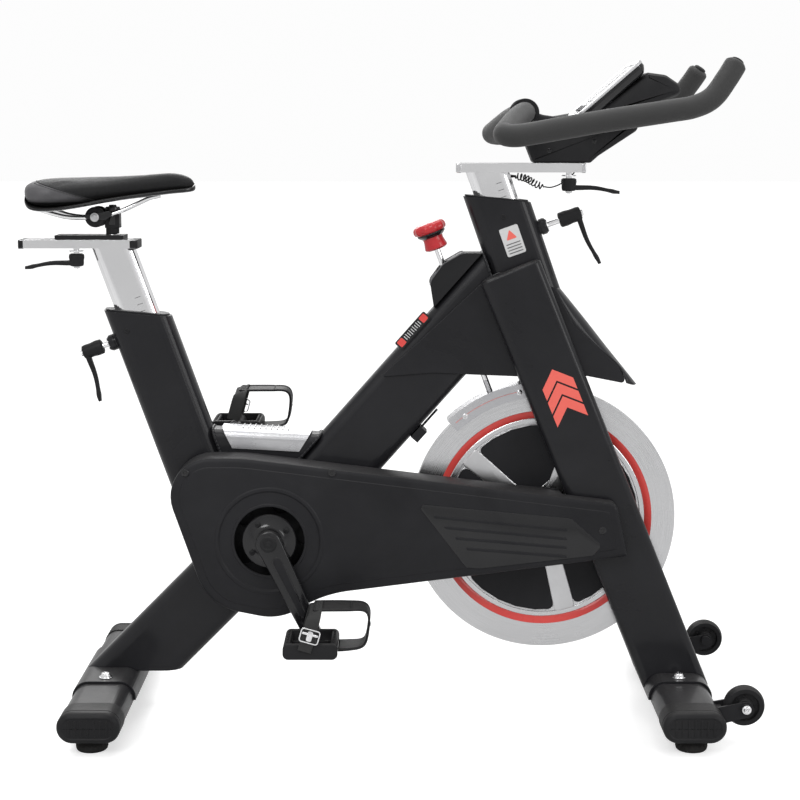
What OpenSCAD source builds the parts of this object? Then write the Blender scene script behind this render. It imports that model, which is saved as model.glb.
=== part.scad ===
// Indoor exercise bike: belt-driven flywheel between two fork blades, magnetic push brake,
// saddle and handlebar on sliding posts. Millimetres, +X to the front, +Y to the rider's left,
// +Z up, origin on the floor under the middle of the bike.

/* [Frame] */
// Lean of the seat and handlebar posts from vertical
post_lean = 19.5; // [18:0.5:21]
// Width of the seat tube and head tube along the bike
tube_w = 102; // [100:1:104]
// Thickness of every frame tube across the bike
tube_t = 56; // [54:1:56]
// Width of the long beam and rear leg
beam_w = 116; // [112:1:118]
// Wall of the frame tubes
tube_wall = 3; // [2:0.5:3.5]

/* [Posts] */
// Width of both chromed posts along the bike
post_w = 68; // [64:1:70]
// Thickness of both chromed posts
post_t = 34; // [30:1:36]

/* [Drive] */
// Radius of the flywheel
flywheel_r = 223; // [215:1:225]
// Thickness of the flywheel rim
rim_t = 24; // [20:1:26]
// Radius of the crank pulley
crank_pulley_r = 96; // [90:1:98]
// Radius of the flywheel pulley
fly_pulley_r = 26; // [24:1:28]
// Length of the crank from axle to pedal
crank_len = 170; // [165:1:175]
// Angle of the right crank below the horizontal at rest
crank_angle = 65; // [0:5:90]

/* [Base] */
// Overall length of the stabiliser tubes without their caps
stab_len = 492; // [480:2:500]
// Width of the flat oval stabiliser tube
stab_w = 98; // [92:1:102]
// Height of the flat oval stabiliser tube
stab_h = 48; // [44:1:52]
// Radius of the transport wheels
wheel_r = 33; // [30:1:34]

/* [Handlebar] */
// Radius of the coated handlebar tube
bar_r = 17.5; // [15:0.5:18]

/* [Hidden] */
$fn = 48;

fit = 0.05;                                  // radial running clearance
gap = 0.3;                                   // clearance between neighbours that slide or turn
weld_gap = 0.2;                              // welded neighbours that stay separate solids
ARC = 8;                                     // straight steps in a rounded corner

// Places of the main axes in the side view, as [x, z]
seat_top = [-418, 678];                      // seat tube axis at its mouth
head_top = [178.5, 866];                     // head tube axis at its mouth
bracket = [-197, 308];                       // crank axle
hub = [260, 330];                            // flywheel axle
beam_angle = 48.5;                           // rise of the long beam
beam_point = [-71.9, 435.1];                 // a point on the beam's axis
leg_angle = 45.3;                            // rise of the rear leg
blade_lean = 22.2;                           // lean of the fork blades
blade_top = [205, 735];                      // top of a blade's axis
blade_t = 28;                                // thickness of a blade
blade_w = 104;                               // width of a blade
blade_y = 46;                                // blade centre from the middle plane
stab_x = [-474, 485];                        // rear and front stabiliser
stab_z = 45;                                 // centre height of the stabiliser tubes
cap_len = 15;                                // how far an end cap stands out
foot_y = 222;                                // levelling feet from the middle plane
plate_y = 105;                               // half length of the stabiliser plates
bolt_y = 82;                                 // stabiliser bolts from the middle plane
belt_y = [-49, -35];                         // drive belt plane
guard_y = [-90, -32];                        // outer guard: face and open side
guard_wall = 3;
arm_y = [95, 111];                           // crank arms from the middle plane
pedal_y = [114, 206];                        // pedal bodies from the middle plane
pedal_x = 44;                                // half length of a pedal body
rail_y = [50, 62];                           // side rails that carry the flywheel axle
axle_r = 6;
rod_lean = 20.5;                             // brake rod
rod_point = [72, 805];                       // knob centre on the rod's axis
brake_pivot = [273, 574];                    // pin between the fork blades
brake_lift = 2.5;                            // arm lifted off the rim at rest
seat_rail = [-607, -416];                    // ends of the horizontal seat rail
seat_rail_z = [786, 800];
bar_rail = [114, 321];                       // ends of the horizontal handlebar rail
bar_rail_z = [910, 925];
rail_w = 50;                                 // width of both horizontal rails
seat_screw_x = -518;                         // clamp screw of the seat carriage
bar_screw_x = 297;                           // clamp screw of the handlebar carriage
slot_w = 13;
seat_screw_z = -33;                          // post clamp screws, along each tube's axis
head_screw_z = -68;
post_inside = 190;                           // how far a post reaches into its tube at rest
tilt_axis = [-482, 837];                     // saddle tilt clamp
wheel_at = [574, 61];                        // transport wheel axle
wheel_y = 190;
wheel_t = 24;
cord_y = 27;                                 // the curly cord hangs left of the middle plane

// Curly cord from the handlebar post, and the straight lead from it up to the console
coil_route = [[206, 12, 903], [216, 13, 902], [228, 18, 899], [237, 24, 894], [248, 27, 888], [260, 27, 885]];
lead_route = [[260, 27, 885], [268, 27, 884], [277, 27, 886], [286, 27, 890], [296, 27, 897],
    [306, 27, 906], [316, 27, 918], [324, 27, 930], [330, 26, 941], [334, 25, 952]];

// ---- Shared outlines and solids ----

function unit(v) = v / norm(v);
function arc(centre, r, a0, a1, n = ARC) =
    [for (i = [0:n]) let (a = a0 + (a1 - a0) * i / n) centre + r * [cos(a), sin(a)]];
function rounded(w, d, r, n = ARC) = concat(
    arc([w / 2 - r, d / 2 - r], r, 0, 90, n), arc([r - w / 2, d / 2 - r], r, 90, 180, n),
    arc([r - w / 2, r - d / 2], r, 180, 270, n), arc([w / 2 - r, r - d / 2], r, 270, 360, n));
// The corner b between a and c, rounded to radius r
function corner(a, b, c, r, n) = r == 0 ? [b] :
    let (u = unit(a - b), v = unit(c - b), half = acos(u * v) / 2,
        centre = b + unit(u + v) * r / sin(half),
        p = b + u * r / tan(half) - centre, q = b + v * r / tan(half) - centre,
        start = atan2(p[1], p[0]), turn = atan2(p[0] * q[1] - p[1] * q[0], p * q))
    arc(centre, r, start, start + turn, n);
function rounded_poly(pts, radii, n = 6) = let (m = len(pts)) [for (i = [0:m - 1])
    each corner(pts[(i + m - 1) % m], pts[i], pts[(i + 1) % m], radii[i], n)];
// An outline that runs clockwise, moved inwards by d
function inset(p, d) = let (m = len(p)) [for (i = [0:m - 1]) let (
    u = unit(p[i] - p[(i + m - 1) % m]), v = unit(p[(i + 1) % m] - p[i]),
    n = unit([u[1] + v[1], -u[0] - v[0]])) p[i] + d * n / (n * [u[1], -u[0]])];
// The loop of a belt round two pulleys, the first the larger one
function belt_loop(c1, r1, c2, r2, n = 24) = let (d = c2 - c1, a = atan2(d[1], d[0]),
    b = acos((r1 - r2) / norm(d)))
    concat(arc(c2, r2, a - b, a + b, n), arc(c1, r1, a + b, a + 360 - b, n));
// A smooth curve through hand-placed points (Catmull-Rom)
function smooth(p, n) = let (m = len(p) - 1) concat(
    [for (i = [0:m - 1]) for (k = [0:n - 1]) let (t = k / n,
        a = p[max(i - 1, 0)], b = p[i], c = p[i + 1], d = p[min(i + 2, m)])
        0.5 * (2 * b + (c - a) * t + (2 * a - 5 * b + 4 * c - d) * t * t + (3 * b - a - 3 * c + d) * t * t * t)],
    [p[m]]);

// A 2D outline in the side view, given thickness from y0 to y1
module slab(y0, y1) translate([0, y1, 0]) rotate([90, 0, 0]) linear_extrude(y1 - y0) children();
// Children drawn along +Z, leaned rearwards about a side-view point
module leaned(at, angle) translate([at[0], 0, at[1]]) rotate([0, -angle, 0]) children();
// A cylinder along Y
module pin_y(at, r, y0, y1) translate([at[0], y1, at[1]]) rotate([90, 0, 0]) cylinder(r = r, h = y1 - y0);
module loft(rings) {
    m = len(rings);
    n = len(rings[0]);
    polyhedron(points = [for (ring = rings) each ring],
        faces = concat([[for (k = [0:n - 1]) k]],
            [for (i = [0:m - 2]) for (k = [0:n - 1]) let (a = i * n + k, b = i * n + (k + 1) % n)
                each [[b, a, b + n], [b + n, a, a + n]]],
            [[for (k = [n - 1:-1:0]) (m - 1) * n + k]]));
}
// A round tube swept along a path, with one radius or one per point
module swept(path, r, sides = 12) {
    m = len(path) - 1;
    loft([for (i = [0:m]) let (t = unit(path[min(i + 1, m)] - path[max(i - 1, 0)]),
        s = unit(cross(t, [0, 0, 1])), u = cross(s, t), rr = is_list(r) ? r[i] : r)
        [for (k = [0:sides - 1]) path[i] - rr * (cos(360 * k / sides) * s - sin(360 * k / sides) * u)]]);
}
// A hollow tube along +Z from z0 to z1, with rounded corners
module box_tube(w, t, r, wall, z0, z1) translate([0, 0, z0]) linear_extrude(z1 - z0) difference() {
    polygon(rounded(w, t, r));
    polygon(rounded(w - 2 * wall, t - 2 * wall, r - wall));
}
module box_bar(w, t, r, z0, z1) translate([0, 0, z0]) linear_extrude(z1 - z0) polygon(rounded(w, t, r));
// Everything above a plane through a side-view point that falls towards the front
module above(at, fall) leaned(at, -fall) translate([-300, -100, 0]) cube([600, 200, 300]);
module mirrored_y() {
    children();
    mirror([0, 1, 0]) children();
}
steel = "#26262a";
chrome = "#d9dadd";
plastic = "#1d1d1f";

// ---- Welded frame ----

mouth_fall = 5;                              // the tube mouths are cut nearly level
module beam_outer() leaned(beam_point, beam_angle - 90) box_bar(beam_w, tube_t, 22, -250, 420);
module leg_outer() leaned(bracket, leg_angle - 90) box_bar(beam_w, tube_t, 22, -400, 60);
module shell_outer() pin_y(bracket, 24, -34, 34);
// Front half-space of the vertical mitre through the crank axle
module mitre(front) translate([bracket[0] + (front ? -weld_gap / 2 : weld_gap / 2 - 500), -100, 0]) cube([500, 200, 900]);
module brake_rod_bore(r) leaned(rod_point, rod_lean) translate([0, 0, -330]) cylinder(r = r, h = 330);

module seat_tube() color(steel) difference() {
    leaned(seat_top, post_lean) union() {
        box_tube(tube_w, tube_t, 24, tube_wall, -470, 40);
        translate([-tube_w / 2 + 2, 0, seat_screw_z]) rotate([0, -90, 0]) cylinder(r = 12, h = 14);
    }
    above(seat_top, mouth_fall);
    leg_outer();
    beam_outer();
    leaned(seat_top, post_lean) translate([-tube_w / 2 - 20, 0, seat_screw_z]) rotate([0, 90, 0]) cylinder(r = 6.3, h = 40);
}
module head_tube() color(steel) difference() {
    leaned(head_top, post_lean) union() {
        box_tube(tube_w, tube_t, 24, tube_wall, -250, 40);
        translate([tube_w / 2 - 2, 0, head_screw_z]) rotate([0, 90, 0]) cylinder(r = 12, h = 14);
    }
    above(head_top, mouth_fall);
    leaned(head_top, post_lean) translate([tube_w / 2 + 20, 0, head_screw_z]) rotate([0, -90, 0]) cylinder(r = 6.3, h = 40);
}
module main_beam() color(steel) difference() {
    leaned(beam_point, beam_angle - 90) box_tube(beam_w, tube_t, 22, tube_wall, -250, 420);
    leaned(head_top, post_lean) translate([-tube_w / 2 - weld_gap, -100, -300]) cube([400, 200, 400]);
    shell_outer();
    mitre(false);
    brake_rod_bore(12);
}
module rear_leg() color(steel) difference() {
    leaned(bracket, leg_angle - 90) box_tube(beam_w, tube_t, 22, tube_wall, -400, 60);
    shell_outer();
    mitre(true);
    plate_room();
    translate([-700, -100, -300]) cube([700, 200, 300 + stab_z + 22]);
}
module cross_tube() color(steel) difference() {
    leaned([-250, 448], 87) box_tube(68, tube_t, 16, tube_wall, -190, 60);
    leaned(seat_top, post_lean) translate([-200 + tube_w / 2 + weld_gap, -100, -500]) cube([200, 200, 500]);
    leaned(beam_point, beam_angle - 90) translate([-beam_w / 2 - weld_gap, -100, -200]) cube([300, 200, 500]);
}
module at_blade() translate([blade_top[0], -blade_y, blade_top[1]]) rotate([0, -blade_lean, 0]) children();
module plate_room() for (x = stab_x) translate([x, 0, stab_z]) slab(-150, 150) polygon(stab_outline(4 + weld_gap));
module blade() at_blade() box_tube(blade_w, blade_t, blade_t / 2 - 0.5, tube_wall, -760, 14);
module fork_blades() color(steel) mirrored_y() difference() {
    blade();
    plate_room();
    translate([0, -200, -400]) cube([800, 400, 400 + stab_z]);
    pin_y(brake_pivot, 4 + fit, -42, -30);
}
module rail_bar() difference() {
    slab(-rail_y[1], -rail_y[0]) polygon(rounded_poly([[-50, 312], [320.5, 312], [305.5, 348], [-50, 348]], [0, 4, 4, 0]));
    pin_y(hub, axle_r + fit, -rail_y[1] - 1, -rail_y[0] + 1);
    pin_y(hub + [-14, 0], axle_r + fit, -rail_y[1] - 1, -rail_y[0] + 1);
    translate([hub[0] - 14, -rail_y[1] - 1, hub[1] - axle_r - fit]) cube([14, 14, 2 * (axle_r + fit)]);
}
module side_rails() color(steel) {
    mirrored_y() rail_bar();
    difference() {
        translate([-96, -rail_y[1], 312]) cube([46 - weld_gap, 2 * rail_y[1], 36]);
        leaned(beam_point, beam_angle - 90) box_bar(beam_w + 2 * weld_gap, tube_t + 2 * weld_gap, 22, -250, 100);
        pin_y(bracket, crank_pulley_r + 3, belt_y[0] - 3, belt_y[1] + 1);
    }
}
module bottom_bracket_shell() color(steel) difference() {
    shell_outer();
    pin_y(bracket, 20, -35, 35);
}
module bottom_bracket_bearings() color(chrome) for (y = [-33, 21]) difference() {
    pin_y(bracket, 19.98, y, y + 12);
    pin_y(bracket, 10 + fit, y - 1, y + 13);
}

// ---- Base ----

function stab_outline(grow = 0) = rounded(stab_w + 2 * grow, stab_h + 2 * grow, stab_h / 2 + grow - 0.5, 10);
module stabilisers() color(steel) for (x = stab_x) translate([x, 0, stab_z]) difference() {
    slab(-stab_len / 2, stab_len / 2) difference() {
        polygon(stab_outline());
        polygon(stab_outline(-2.5));
    }
    for (s = [-1, 1]) translate([0, s * bolt_y, 0]) cylinder(r = 5.2, h = 60);
    for (s = [-1, 1]) translate([0, s * foot_y, -60]) cylinder(r = 5 + gap, h = 60);
}
module stabiliser_plates() color(steel) for (x = stab_x) translate([x, 0, stab_z]) difference() {
    slab(-plate_y, plate_y) difference() {
        polygon(stab_outline(4));
        polygon(stab_outline(0.1));
        translate([-100, -60]) square([200, 56]);
    }
    for (s = [-1, 1]) translate([0, s * bolt_y, 0]) cylinder(r = 5.2, h = 60);
}
module end_cap() difference() {
    slab(-stab_len / 2 - cap_len, -stab_len / 2 + 40) polygon(stab_outline(1.5));
    difference() {
        slab(-stab_len / 2, -stab_len / 2 + 41) polygon(stab_outline(3));
        slab(-stab_len / 2 - 1, -stab_len / 2 + 42) polygon(stab_outline(-2.7));
    }
}
// Levelling foot thread in each cap: a plain bore with the stud's running clearance
module stabiliser_end_caps() color(plastic) for (x = stab_x) translate([x, 0, stab_z]) mirrored_y() difference() {
    end_cap();
    translate([0, -foot_y, -30]) cylinder(r = 8, h = 60);
    translate([-12, -foot_y + 14, -20]) cube([24, 20, 40]);
}
module stabiliser_bolts() color(chrome) for (x = stab_x) for (s = [-1, 1]) translate([x, s * bolt_y, stab_z]) {
    translate([0, 0, stab_h / 2 + 4.1]) cylinder(r = 9, h = 2.5);
    translate([0, 0, stab_h / 2 + 6.6]) cylinder(r = 6.5, h = 5);
    cylinder(r = 5, h = stab_h / 2 + 5);
}
module levelling_feet() color(plastic) for (x = stab_x) for (s = [-1, 1]) translate([x, s * foot_y, 0]) {
    cylinder(r1 = 24, r2 = 26, h = 6);
    translate([0, 0, 6]) cylinder(r1 = 26, r2 = 22, h = 10);
    translate([0, 0, 16]) cylinder(r = 5, h = 34);
}

// Two cheeks, the plate that joins them behind the wheel, and the axle bolt
module wheel_bracket() {
    cheek = wheel_t / 2 + 3.5;
    for (s = [-1, 1]) slab(wheel_y + s * cheek - 2, wheel_y + s * cheek + 2)
        polygon(rounded_poly([[526, 33], [587, 48], [587, 74], [526, 62]], [0, 12, 12, 0]));
    translate([530, wheel_y - cheek - 2, 36]) cube([8, 2 * cheek + 4, 22]);
    pin_y(wheel_at, 4, wheel_y - cheek - 8, wheel_y + cheek + 8);
    for (s = [-1, 1]) pin_y(wheel_at, 8, wheel_y + s * (cheek + 5) - 3, wheel_y + s * (cheek + 5) + 3);
}
module wheel_brackets() color(plastic) difference() {
    mirrored_y() wheel_bracket();
    translate([stab_x[1], 0, stab_z]) slab(-300, 300) polygon(stab_outline(0.1));
}
module transport_wheel(side) color(plastic) translate([wheel_at[0], side * wheel_y, wheel_at[1]]) rotate([90, 0, 0])
    rotate_extrude() polygon([[4 + fit, -11], [13, -11], [13, -5], [23, -5], [23, -11], [30, -12], [wheel_r - 2, -8],
        [wheel_r, -3], [wheel_r, 3], [wheel_r - 2, 8], [30, 12], [23, 11], [23, 5], [13, 5], [13, 11], [4 + fit, 11]]);
module transport_wheel_right() transport_wheel(-1);
module transport_wheel_left() transport_wheel(1);

// ---- Drive ----

guard_outline = rounded_poly([[-386, 447], [-240, 447], [376, 371], [396, 281], [-110, 216], [-180, 172], [-300, 196]],
    [66, 300, 16, 6, 200, 90, 90], 10);
// The blade's own space, with room round it, that both guards leave free
module blade_room() at_blade() box_bar(blade_w + 6, blade_t + 2, 12, -760, 0);
module belt_guard_outer() color(plastic) difference() {
    slab(guard_y[0], guard_y[1]) polygon(guard_outline);
    slab(guard_y[0] + guard_wall, guard_y[1] + 1) polygon(inset(guard_outline, guard_wall));
    pin_y(bracket, 58, guard_y[0] - 1, guard_y[0] + guard_wall + 1);
    blade_room();
}
module belt_guard_inner() color(plastic) difference() {
    slab(guard_y[1] + gap, guard_y[1] + 2.3) polygon(rounded_poly(
        [[-386, 447], [-240, 447], [200, 392], [290, 384], [290, 268], [120, 247], [-110, 216], [-180, 172], [-300, 196]],
        [66, 300, 30, 10, 10, 200, 200, 90, 90], 10));
    pin_y(bracket, 26, guard_y[1] - 1, guard_y[1] + 5);
    pin_y(hub, 37, guard_y[1] - 1, guard_y[1] + 5);
    translate([-98, -60, 310]) cube([50, 60, 40]);
}
module drive_belt() color("#101010") slab(belt_y[0] + 1, belt_y[1] - 1) difference() {
    polygon(belt_loop(bracket, crank_pulley_r + gap + 3, hub, fly_pulley_r + gap + 3));
    polygon(belt_loop(bracket, crank_pulley_r + gap, hub, fly_pulley_r + gap));
}
module step_plate() color(chrome) difference() {
    leaned([-206, 448], 87) intersection() {
        translate([0, 0, -100]) linear_extrude(200) difference() {
            polygon(rounded(68 + 5, tube_t + 5, 18));
            polygon(rounded(68 + 0.2, tube_t + 0.2, 16));
            translate([-60, -60]) square([62, 120]);
        }
        rotate([90, 0, 0]) translate([0, 0, -50]) linear_extrude(100)
            polygon([[2, -56], [38, -76], [38, 76], [2, 56]]);
    }
    leaned(seat_top, post_lean) translate([-200 + tube_w / 2 + weld_gap, -100, -500]) cube([200, 200, 500]);
    leaned(beam_point, beam_angle - 90) translate([-beam_w / 2 - weld_gap, -100, -200]) cube([300, 200, 500]);
}
module flywheel() color(chrome) difference() {
    translate([hub[0], 0, hub[1]]) rotate([90, 0, 0]) rotate_extrude($fn = 180) polygon([[17, -20], [34, -20], [34, -8],
        [172, -8], [184, -rim_t / 2], [flywheel_r, -rim_t / 2], [flywheel_r, rim_t / 2], [184, rim_t / 2],
        [172, 8], [34, 8], [34, 28], [17, 28]]);
}
insert_first = -76;                          // angle of the first spoke
// One black panel between two spokes, with the spoke's taper at its sides
function insert_outline() = rounded_poly([for (p = [[46, 36], [66, 12], [161, 6], [161, 18], [161, 30], [161, 42],
    [161, 54], [161, 66], [66, 60]]) p[0] * [cos(p[1]), sin(p[1])]], [0, 4, 10, 0, 0, 0, 0, 10, 4], 5);
module flywheel_inserts() color(plastic) translate([hub[0], 0, hub[1]]) for (k = [0:4]) for (s = [-1, 1])
    rotate([0, -(insert_first + 72 * k), 0]) slab(s * 9.1 - 1, s * 9.1 + 1) polygon(insert_outline());
module flywheel_pulley() color(steel) difference() {
    union() {
        pin_y(hub, fly_pulley_r, belt_y[0], belt_y[1]);
        pin_y(hub, 18, belt_y[1] - 1, -28 - weld_gap);
    }
    pin_y(hub, 10, -60, 0);
}
// The flywheel axle with its nuts and bearings, and the pin that the brake arm turns on
module axle_hardware() color(chrome) {
    pin_y(hub, axle_r, -74, 74);
    pin_y(brake_pivot, 4, -40, 40);
    for (s = [-1, 1]) {
        translate([hub[0], s * 66.2, hub[1]]) rotate([90, 0, 0]) difference() {
            cylinder(r = 11, h = 8, center = true, $fn = 6);
            cylinder(r = axle_r + fit, h = 10, center = true);
        }
        difference() {
            pin_y(hub, 17 - fit, s * 14 - 5, s * 14 + 5);
            pin_y(hub, axle_r + fit, s * 14 - 6, s * 14 + 6);
        }
    }
}
module crank_axle() color(chrome) pin_y(bracket, 10, -arm_y[1] + 3, arm_y[1] - 3);
module crank_pulley() color(steel) difference() {
    translate([bracket[0], 0, bracket[1]]) rotate([90, 0, 0]) rotate_extrude($fn = 120) polygon([[10.05, 36.5], [26, 36.5],
        [26, 40], [86, 40], [86, -belt_y[1]], [crank_pulley_r, -belt_y[1]], [crank_pulley_r, -belt_y[0]], [86, -belt_y[0]],
        [86, 44], [26, 44], [26, 70], [10.05, 70]]);
    for (k = [0:4]) pin_y(bracket + 56 * [cos(72 * k), sin(72 * k)], 17, -60, -30);
}
module arm_shape(y0, y1) slab(y0, y1) difference() {
    polygon(belt_loop([0, 0], 21, [crank_len, 0], 15, 12));
    circle(r = 10.02);
    translate([crank_len, 0]) circle(r = 7.02);
}
// Crank arm drawn along +X from the axle, then turned to its rest angle
module at_crank(turn) translate([bracket[0], 0, bracket[1]]) rotate([0, crank_angle + turn, 0]) children();
module crank_arm_right() color(plastic) at_crank(0) {
    difference() {
        union() {
            arm_shape(-arm_y[1], -arm_y[0]);
            slab(-arm_y[0], -84) circle(r = 45, $fn = 96);
        }
        slab(-120, -70) circle(r = 10.02);
    }
}
module crank_arm_left() color(plastic) at_crank(180) arm_shape(arm_y[0], arm_y[1]);
function pedal_at(side) = bracket - side * crank_len * [cos(crank_angle), -sin(crank_angle)];
module pedal_axles() color(chrome) for (side = [-1, 1]) let (at = pedal_at(side))
    pin_y(at, 7, side > 0 ? arm_y[0] : -pedal_y[1] + 8, side > 0 ? pedal_y[1] - 8 : -arm_y[0]);

// ---- Pedals: drawn at the origin for the right side, y measured outwards ----

module pedal_body() difference() {
    slab(-pedal_y[1], -pedal_y[0]) polygon(rounded(2 * pedal_x, 26, 8));
    for (x = [-1, 1]) translate([x * 27, -160, -20]) linear_extrude(40) polygon(rounded(22, 60, 6));
    pin_y([0, 0], 7 + fit, -pedal_y[1] - 1, -pedal_y[0] + 1);
}
// Toe cage: one band that runs out from the pedal's front, curls up and comes back over the shoe
cage_path = rounded_poly([[45, -4], [92, 3], [96, 66], [4, 66], [4, 62.5], [92, 62.5], [88, 6.5], [45, 0]],
    [0, 16, 18, 1, 1, 14, 12, 0], 6);
module toe_cage_shape() {
    slab(-190, -132) polygon(cage_path);
    difference() {
        slab(-pedal_y[1] - 5, -pedal_y[0] - 3) polygon([[-18, 0], [12, 0], [20, 63], [0, 63]]);
        slab(-pedal_y[1] - 1.5, -pedal_y[0] - 6) polygon([[-40, -1], [40, -1], [40, 59.5], [-40, 59.5]]);
        slab(-pedal_y[0] - 10, -pedal_y[0]) square([80, 26 + 2 * gap], center = true);
    }
}
module for_pedal(side) let (at = pedal_at(side)) translate([at[0], 0, at[1]]) mirror([0, side > 0 ? 1 : 0, 0]) children();
module pedal_right() color(plastic) for_pedal(-1) pedal_body();
module pedal_left() color(plastic) for_pedal(1) pedal_body();
module toe_cage_right() color(plastic) for_pedal(-1) toe_cage_shape();
module toe_cage_left() color(plastic) for_pedal(1) toe_cage_shape();

// ---- Posts, rails and saddle ----

post_r = post_t / 2 - 0.5;
module liner(at, screw_z, side) difference() {
    leaned(at, post_lean) difference() {
        translate([0, 0, -110]) linear_extrude(150) difference() {
            polygon(rounded(tube_w - 2 * tube_wall - 0.4, tube_t - 2 * tube_wall - 0.4, 20.8));
            polygon(rounded(post_w + 2 * gap, post_t + 2 * gap, post_r + gap));
        }
        translate([0, 0, screw_z]) rotate([0, side * 90, 0]) cylinder(r = 6.3, h = 80);
    }
    above(at + [0, 3], mouth_fall);
}
module post_liners() color(plastic) {
    liner(seat_top, seat_screw_z, -1);
    liner(head_top, head_screw_z, 1);
}
// A flat rail on top of a post, slotted for its clamp screw
module slide_rail(ends, z, slot) difference() {
    translate([ends[0], -rail_w / 2, z[0]]) cube([ends[1] - ends[0], rail_w, z[1] - z[0]]);
    translate([ends[0] - 1, -rail_w / 2 + 2.5, z[0] + 2.5]) cube([ends[1] - ends[0] + 2, rail_w - 5, z[1] - z[0] - 5]);
    translate([slot[0], -slot_w / 2, z[0] - 1]) cube([slot[1] - slot[0], slot_w, z[1] - z[0] + 2]);
}
module post(at, rail_z) difference() {
    leaned(at, post_lean) box_tube(post_w, post_t, post_r, 2.5, -post_inside, 140);
    translate([at[0] - 200, -100, rail_z[0] + 1]) cube([400, 200, 200]);
}
module seat_post() color(chrome) {
    post(seat_top, seat_rail_z);
    slide_rail(seat_rail, seat_rail_z, [seat_screw_x - 58, seat_screw_x + 24]);
}
module bar_post() color(chrome) {
    post(head_top, bar_rail_z);
    slide_rail(bar_rail, bar_rail_z, [bar_screw_x - 60, bar_screw_x + 16]);
}
module saddle_carriage() color(plastic) difference() {
    union() {
        translate([-549, -rail_w / 2 + 1, seat_rail_z[1] + gap]) cube([113, rail_w - 2, 7]);
        translate([-457, 0, seat_rail_z[1] + 5]) cylinder(r = 11, h = 18);
        translate([-468, -11, 819]) cube([24, 22, 28]);
        translate([-456, 0, 846]) cylinder(r = 5, h = 7);
        translate([-482, -11, 829]) cube([20, 22, 16]);
        pin_y(tilt_axis, 13, -11, 11);
    }
    pin_y(tilt_axis, 4 + fit, -12, 12);
    translate([seat_screw_x, 0, 790]) cylinder(r = 5, h = 30);
}
saddle_rail_path = [[-568, 34, 849], [-552, 32, 844], [-530, 27, 838], [-505, 22, 836], [-470, 20, 838],
    [-440, 18, 847], [-415, 14, 858], [-395, 10, 867], [-378, 9, 871]];
module saddle_rails() color(chrome) {
    mirrored_y() swept(smooth(saddle_rail_path, 3), 3.5, 12);
    pin_y(tilt_axis, 4, -28, 28);
    mirrored_y() pin_y(tilt_axis, 15, 11.5, 26);
}
// Saddle stations from the tail to the nose: x, half width, top and bottom
saddle_stations = [[-594, 30, 888, 874], [-590, 55, 894, 864], [-577, 76, 899, 855], [-548, 84, 901, 853],
    [-507, 74, 900, 858], [-470, 54, 901, 865], [-430, 36, 904, 871], [-390, 27, 908, 876], [-357, 24, 911, 880],
    [-335, 20, 907, 882], [-323, 12, 900, 884], [-319, 5, 893, 887]];
// A pillow-shaped ring across the saddle at one station, its corners eased
function pillow(x, w, top, bottom, n = 24) = [for (k = [0:n - 1]) let (a = 360 * k / n, c = cos(a), s = sin(a))
    [x, w * sign(c) * pow(abs(c), 0.7), (top + bottom) / 2 + (top - bottom) / 2 * sign(s) * pow(abs(s), 0.7)]];
module saddle_cover() color(plastic) loft([for (s = saddle_stations) pillow(s[0], s[1], s[2], s[3])]);
module saddle_base() color(plastic) difference() {
    loft([for (s = saddle_stations) pillow(s[0], s[1] - 3, s[3] - gap, s[3] - 8)]);
    mirrored_y() swept(smooth(saddle_rail_path, 3), 3.8, 12);
}

// ---- Handlebar and console ----

bar_half = [[538, 170, 1084], [520, 178, 1056], [498, 186, 1028], [470, 191, 1014], [430, 195, 1007], [324, 201, 991],
    [225, 206, 974], [196, 204, 970], [180, 190, 972], [184, 165, 978], [203, 90, 996], [218, 40, 1005], [222, 20, 1006]];
bar_right = [for (p = bar_half) [p[0], -p[1], p[2]]];
bar_left = [for (i = [len(bar_half) - 1:-1:0]) bar_half[i]];
module handlebar() color(plastic) swept(smooth(concat(bar_right, bar_left), 3), bar_r, 16);
module bar_cover() color(plastic) difference() {
    union() {
        slab(-24, 24) polygon(rounded_poly([[236, 925.3], [330, 925.3], [343, 937], [404, 977], [414, 1002],
            [300, 1004], [252, 1006], [222, 1010], [214, 990]], [2, 4, 10, 8, 2, 2, 10, 10, 14]));
        pin_y([222, 1006], 23, -24, 24);
    }
    pin_y([222, 1006], bar_r + 1.2, -40, 40);
    translate([bar_screw_x, 0, 900]) cylinder(r = 5, h = 60);
    slab(-40, 40) polygon([[290, 994], [420, 1106], [450, 1060], [330, 960]]);
}
// Console frame: x runs up its face, z out of its back
module at_console() translate([300, 0, 1000]) rotate([0, -40.7, 0]) children();
module console() color(plastic) difference() {
    union() {
        at_console() translate([0, -75, -20]) cube([136, 150, 20]);
        slab(-60, 60) polygon(rounded_poly([[324, 1005], [345, 988], [473, 1040], [470, 1052], [442, 1067], [400, 1067]],
            [0, 8, 4, 10, 14, 0]));
    }
    at_console() translate([14, -60, -2]) cube([108, 120, 6]);
    at_console() translate([4, -71, -18]) cube([118, 142, 14]);
    slab(-57, 57) polygon([[345, 993], [462, 1041], [440, 1061], [400, 1061]]);
}
module console_screen() color("#0e1114") at_console() translate([14.2, -59.8, -2]) cube([107.6, 119.6, 2.2]);
module cord_coil() color(plastic) swept(smooth(coil_route, 4), 6.5, 10);
module cord_lead() color(plastic) swept(smooth(lead_route, 3), 1.3, 8);

// ---- Levers: drawn along +Z out of the tube, the arm to +X ----

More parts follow.
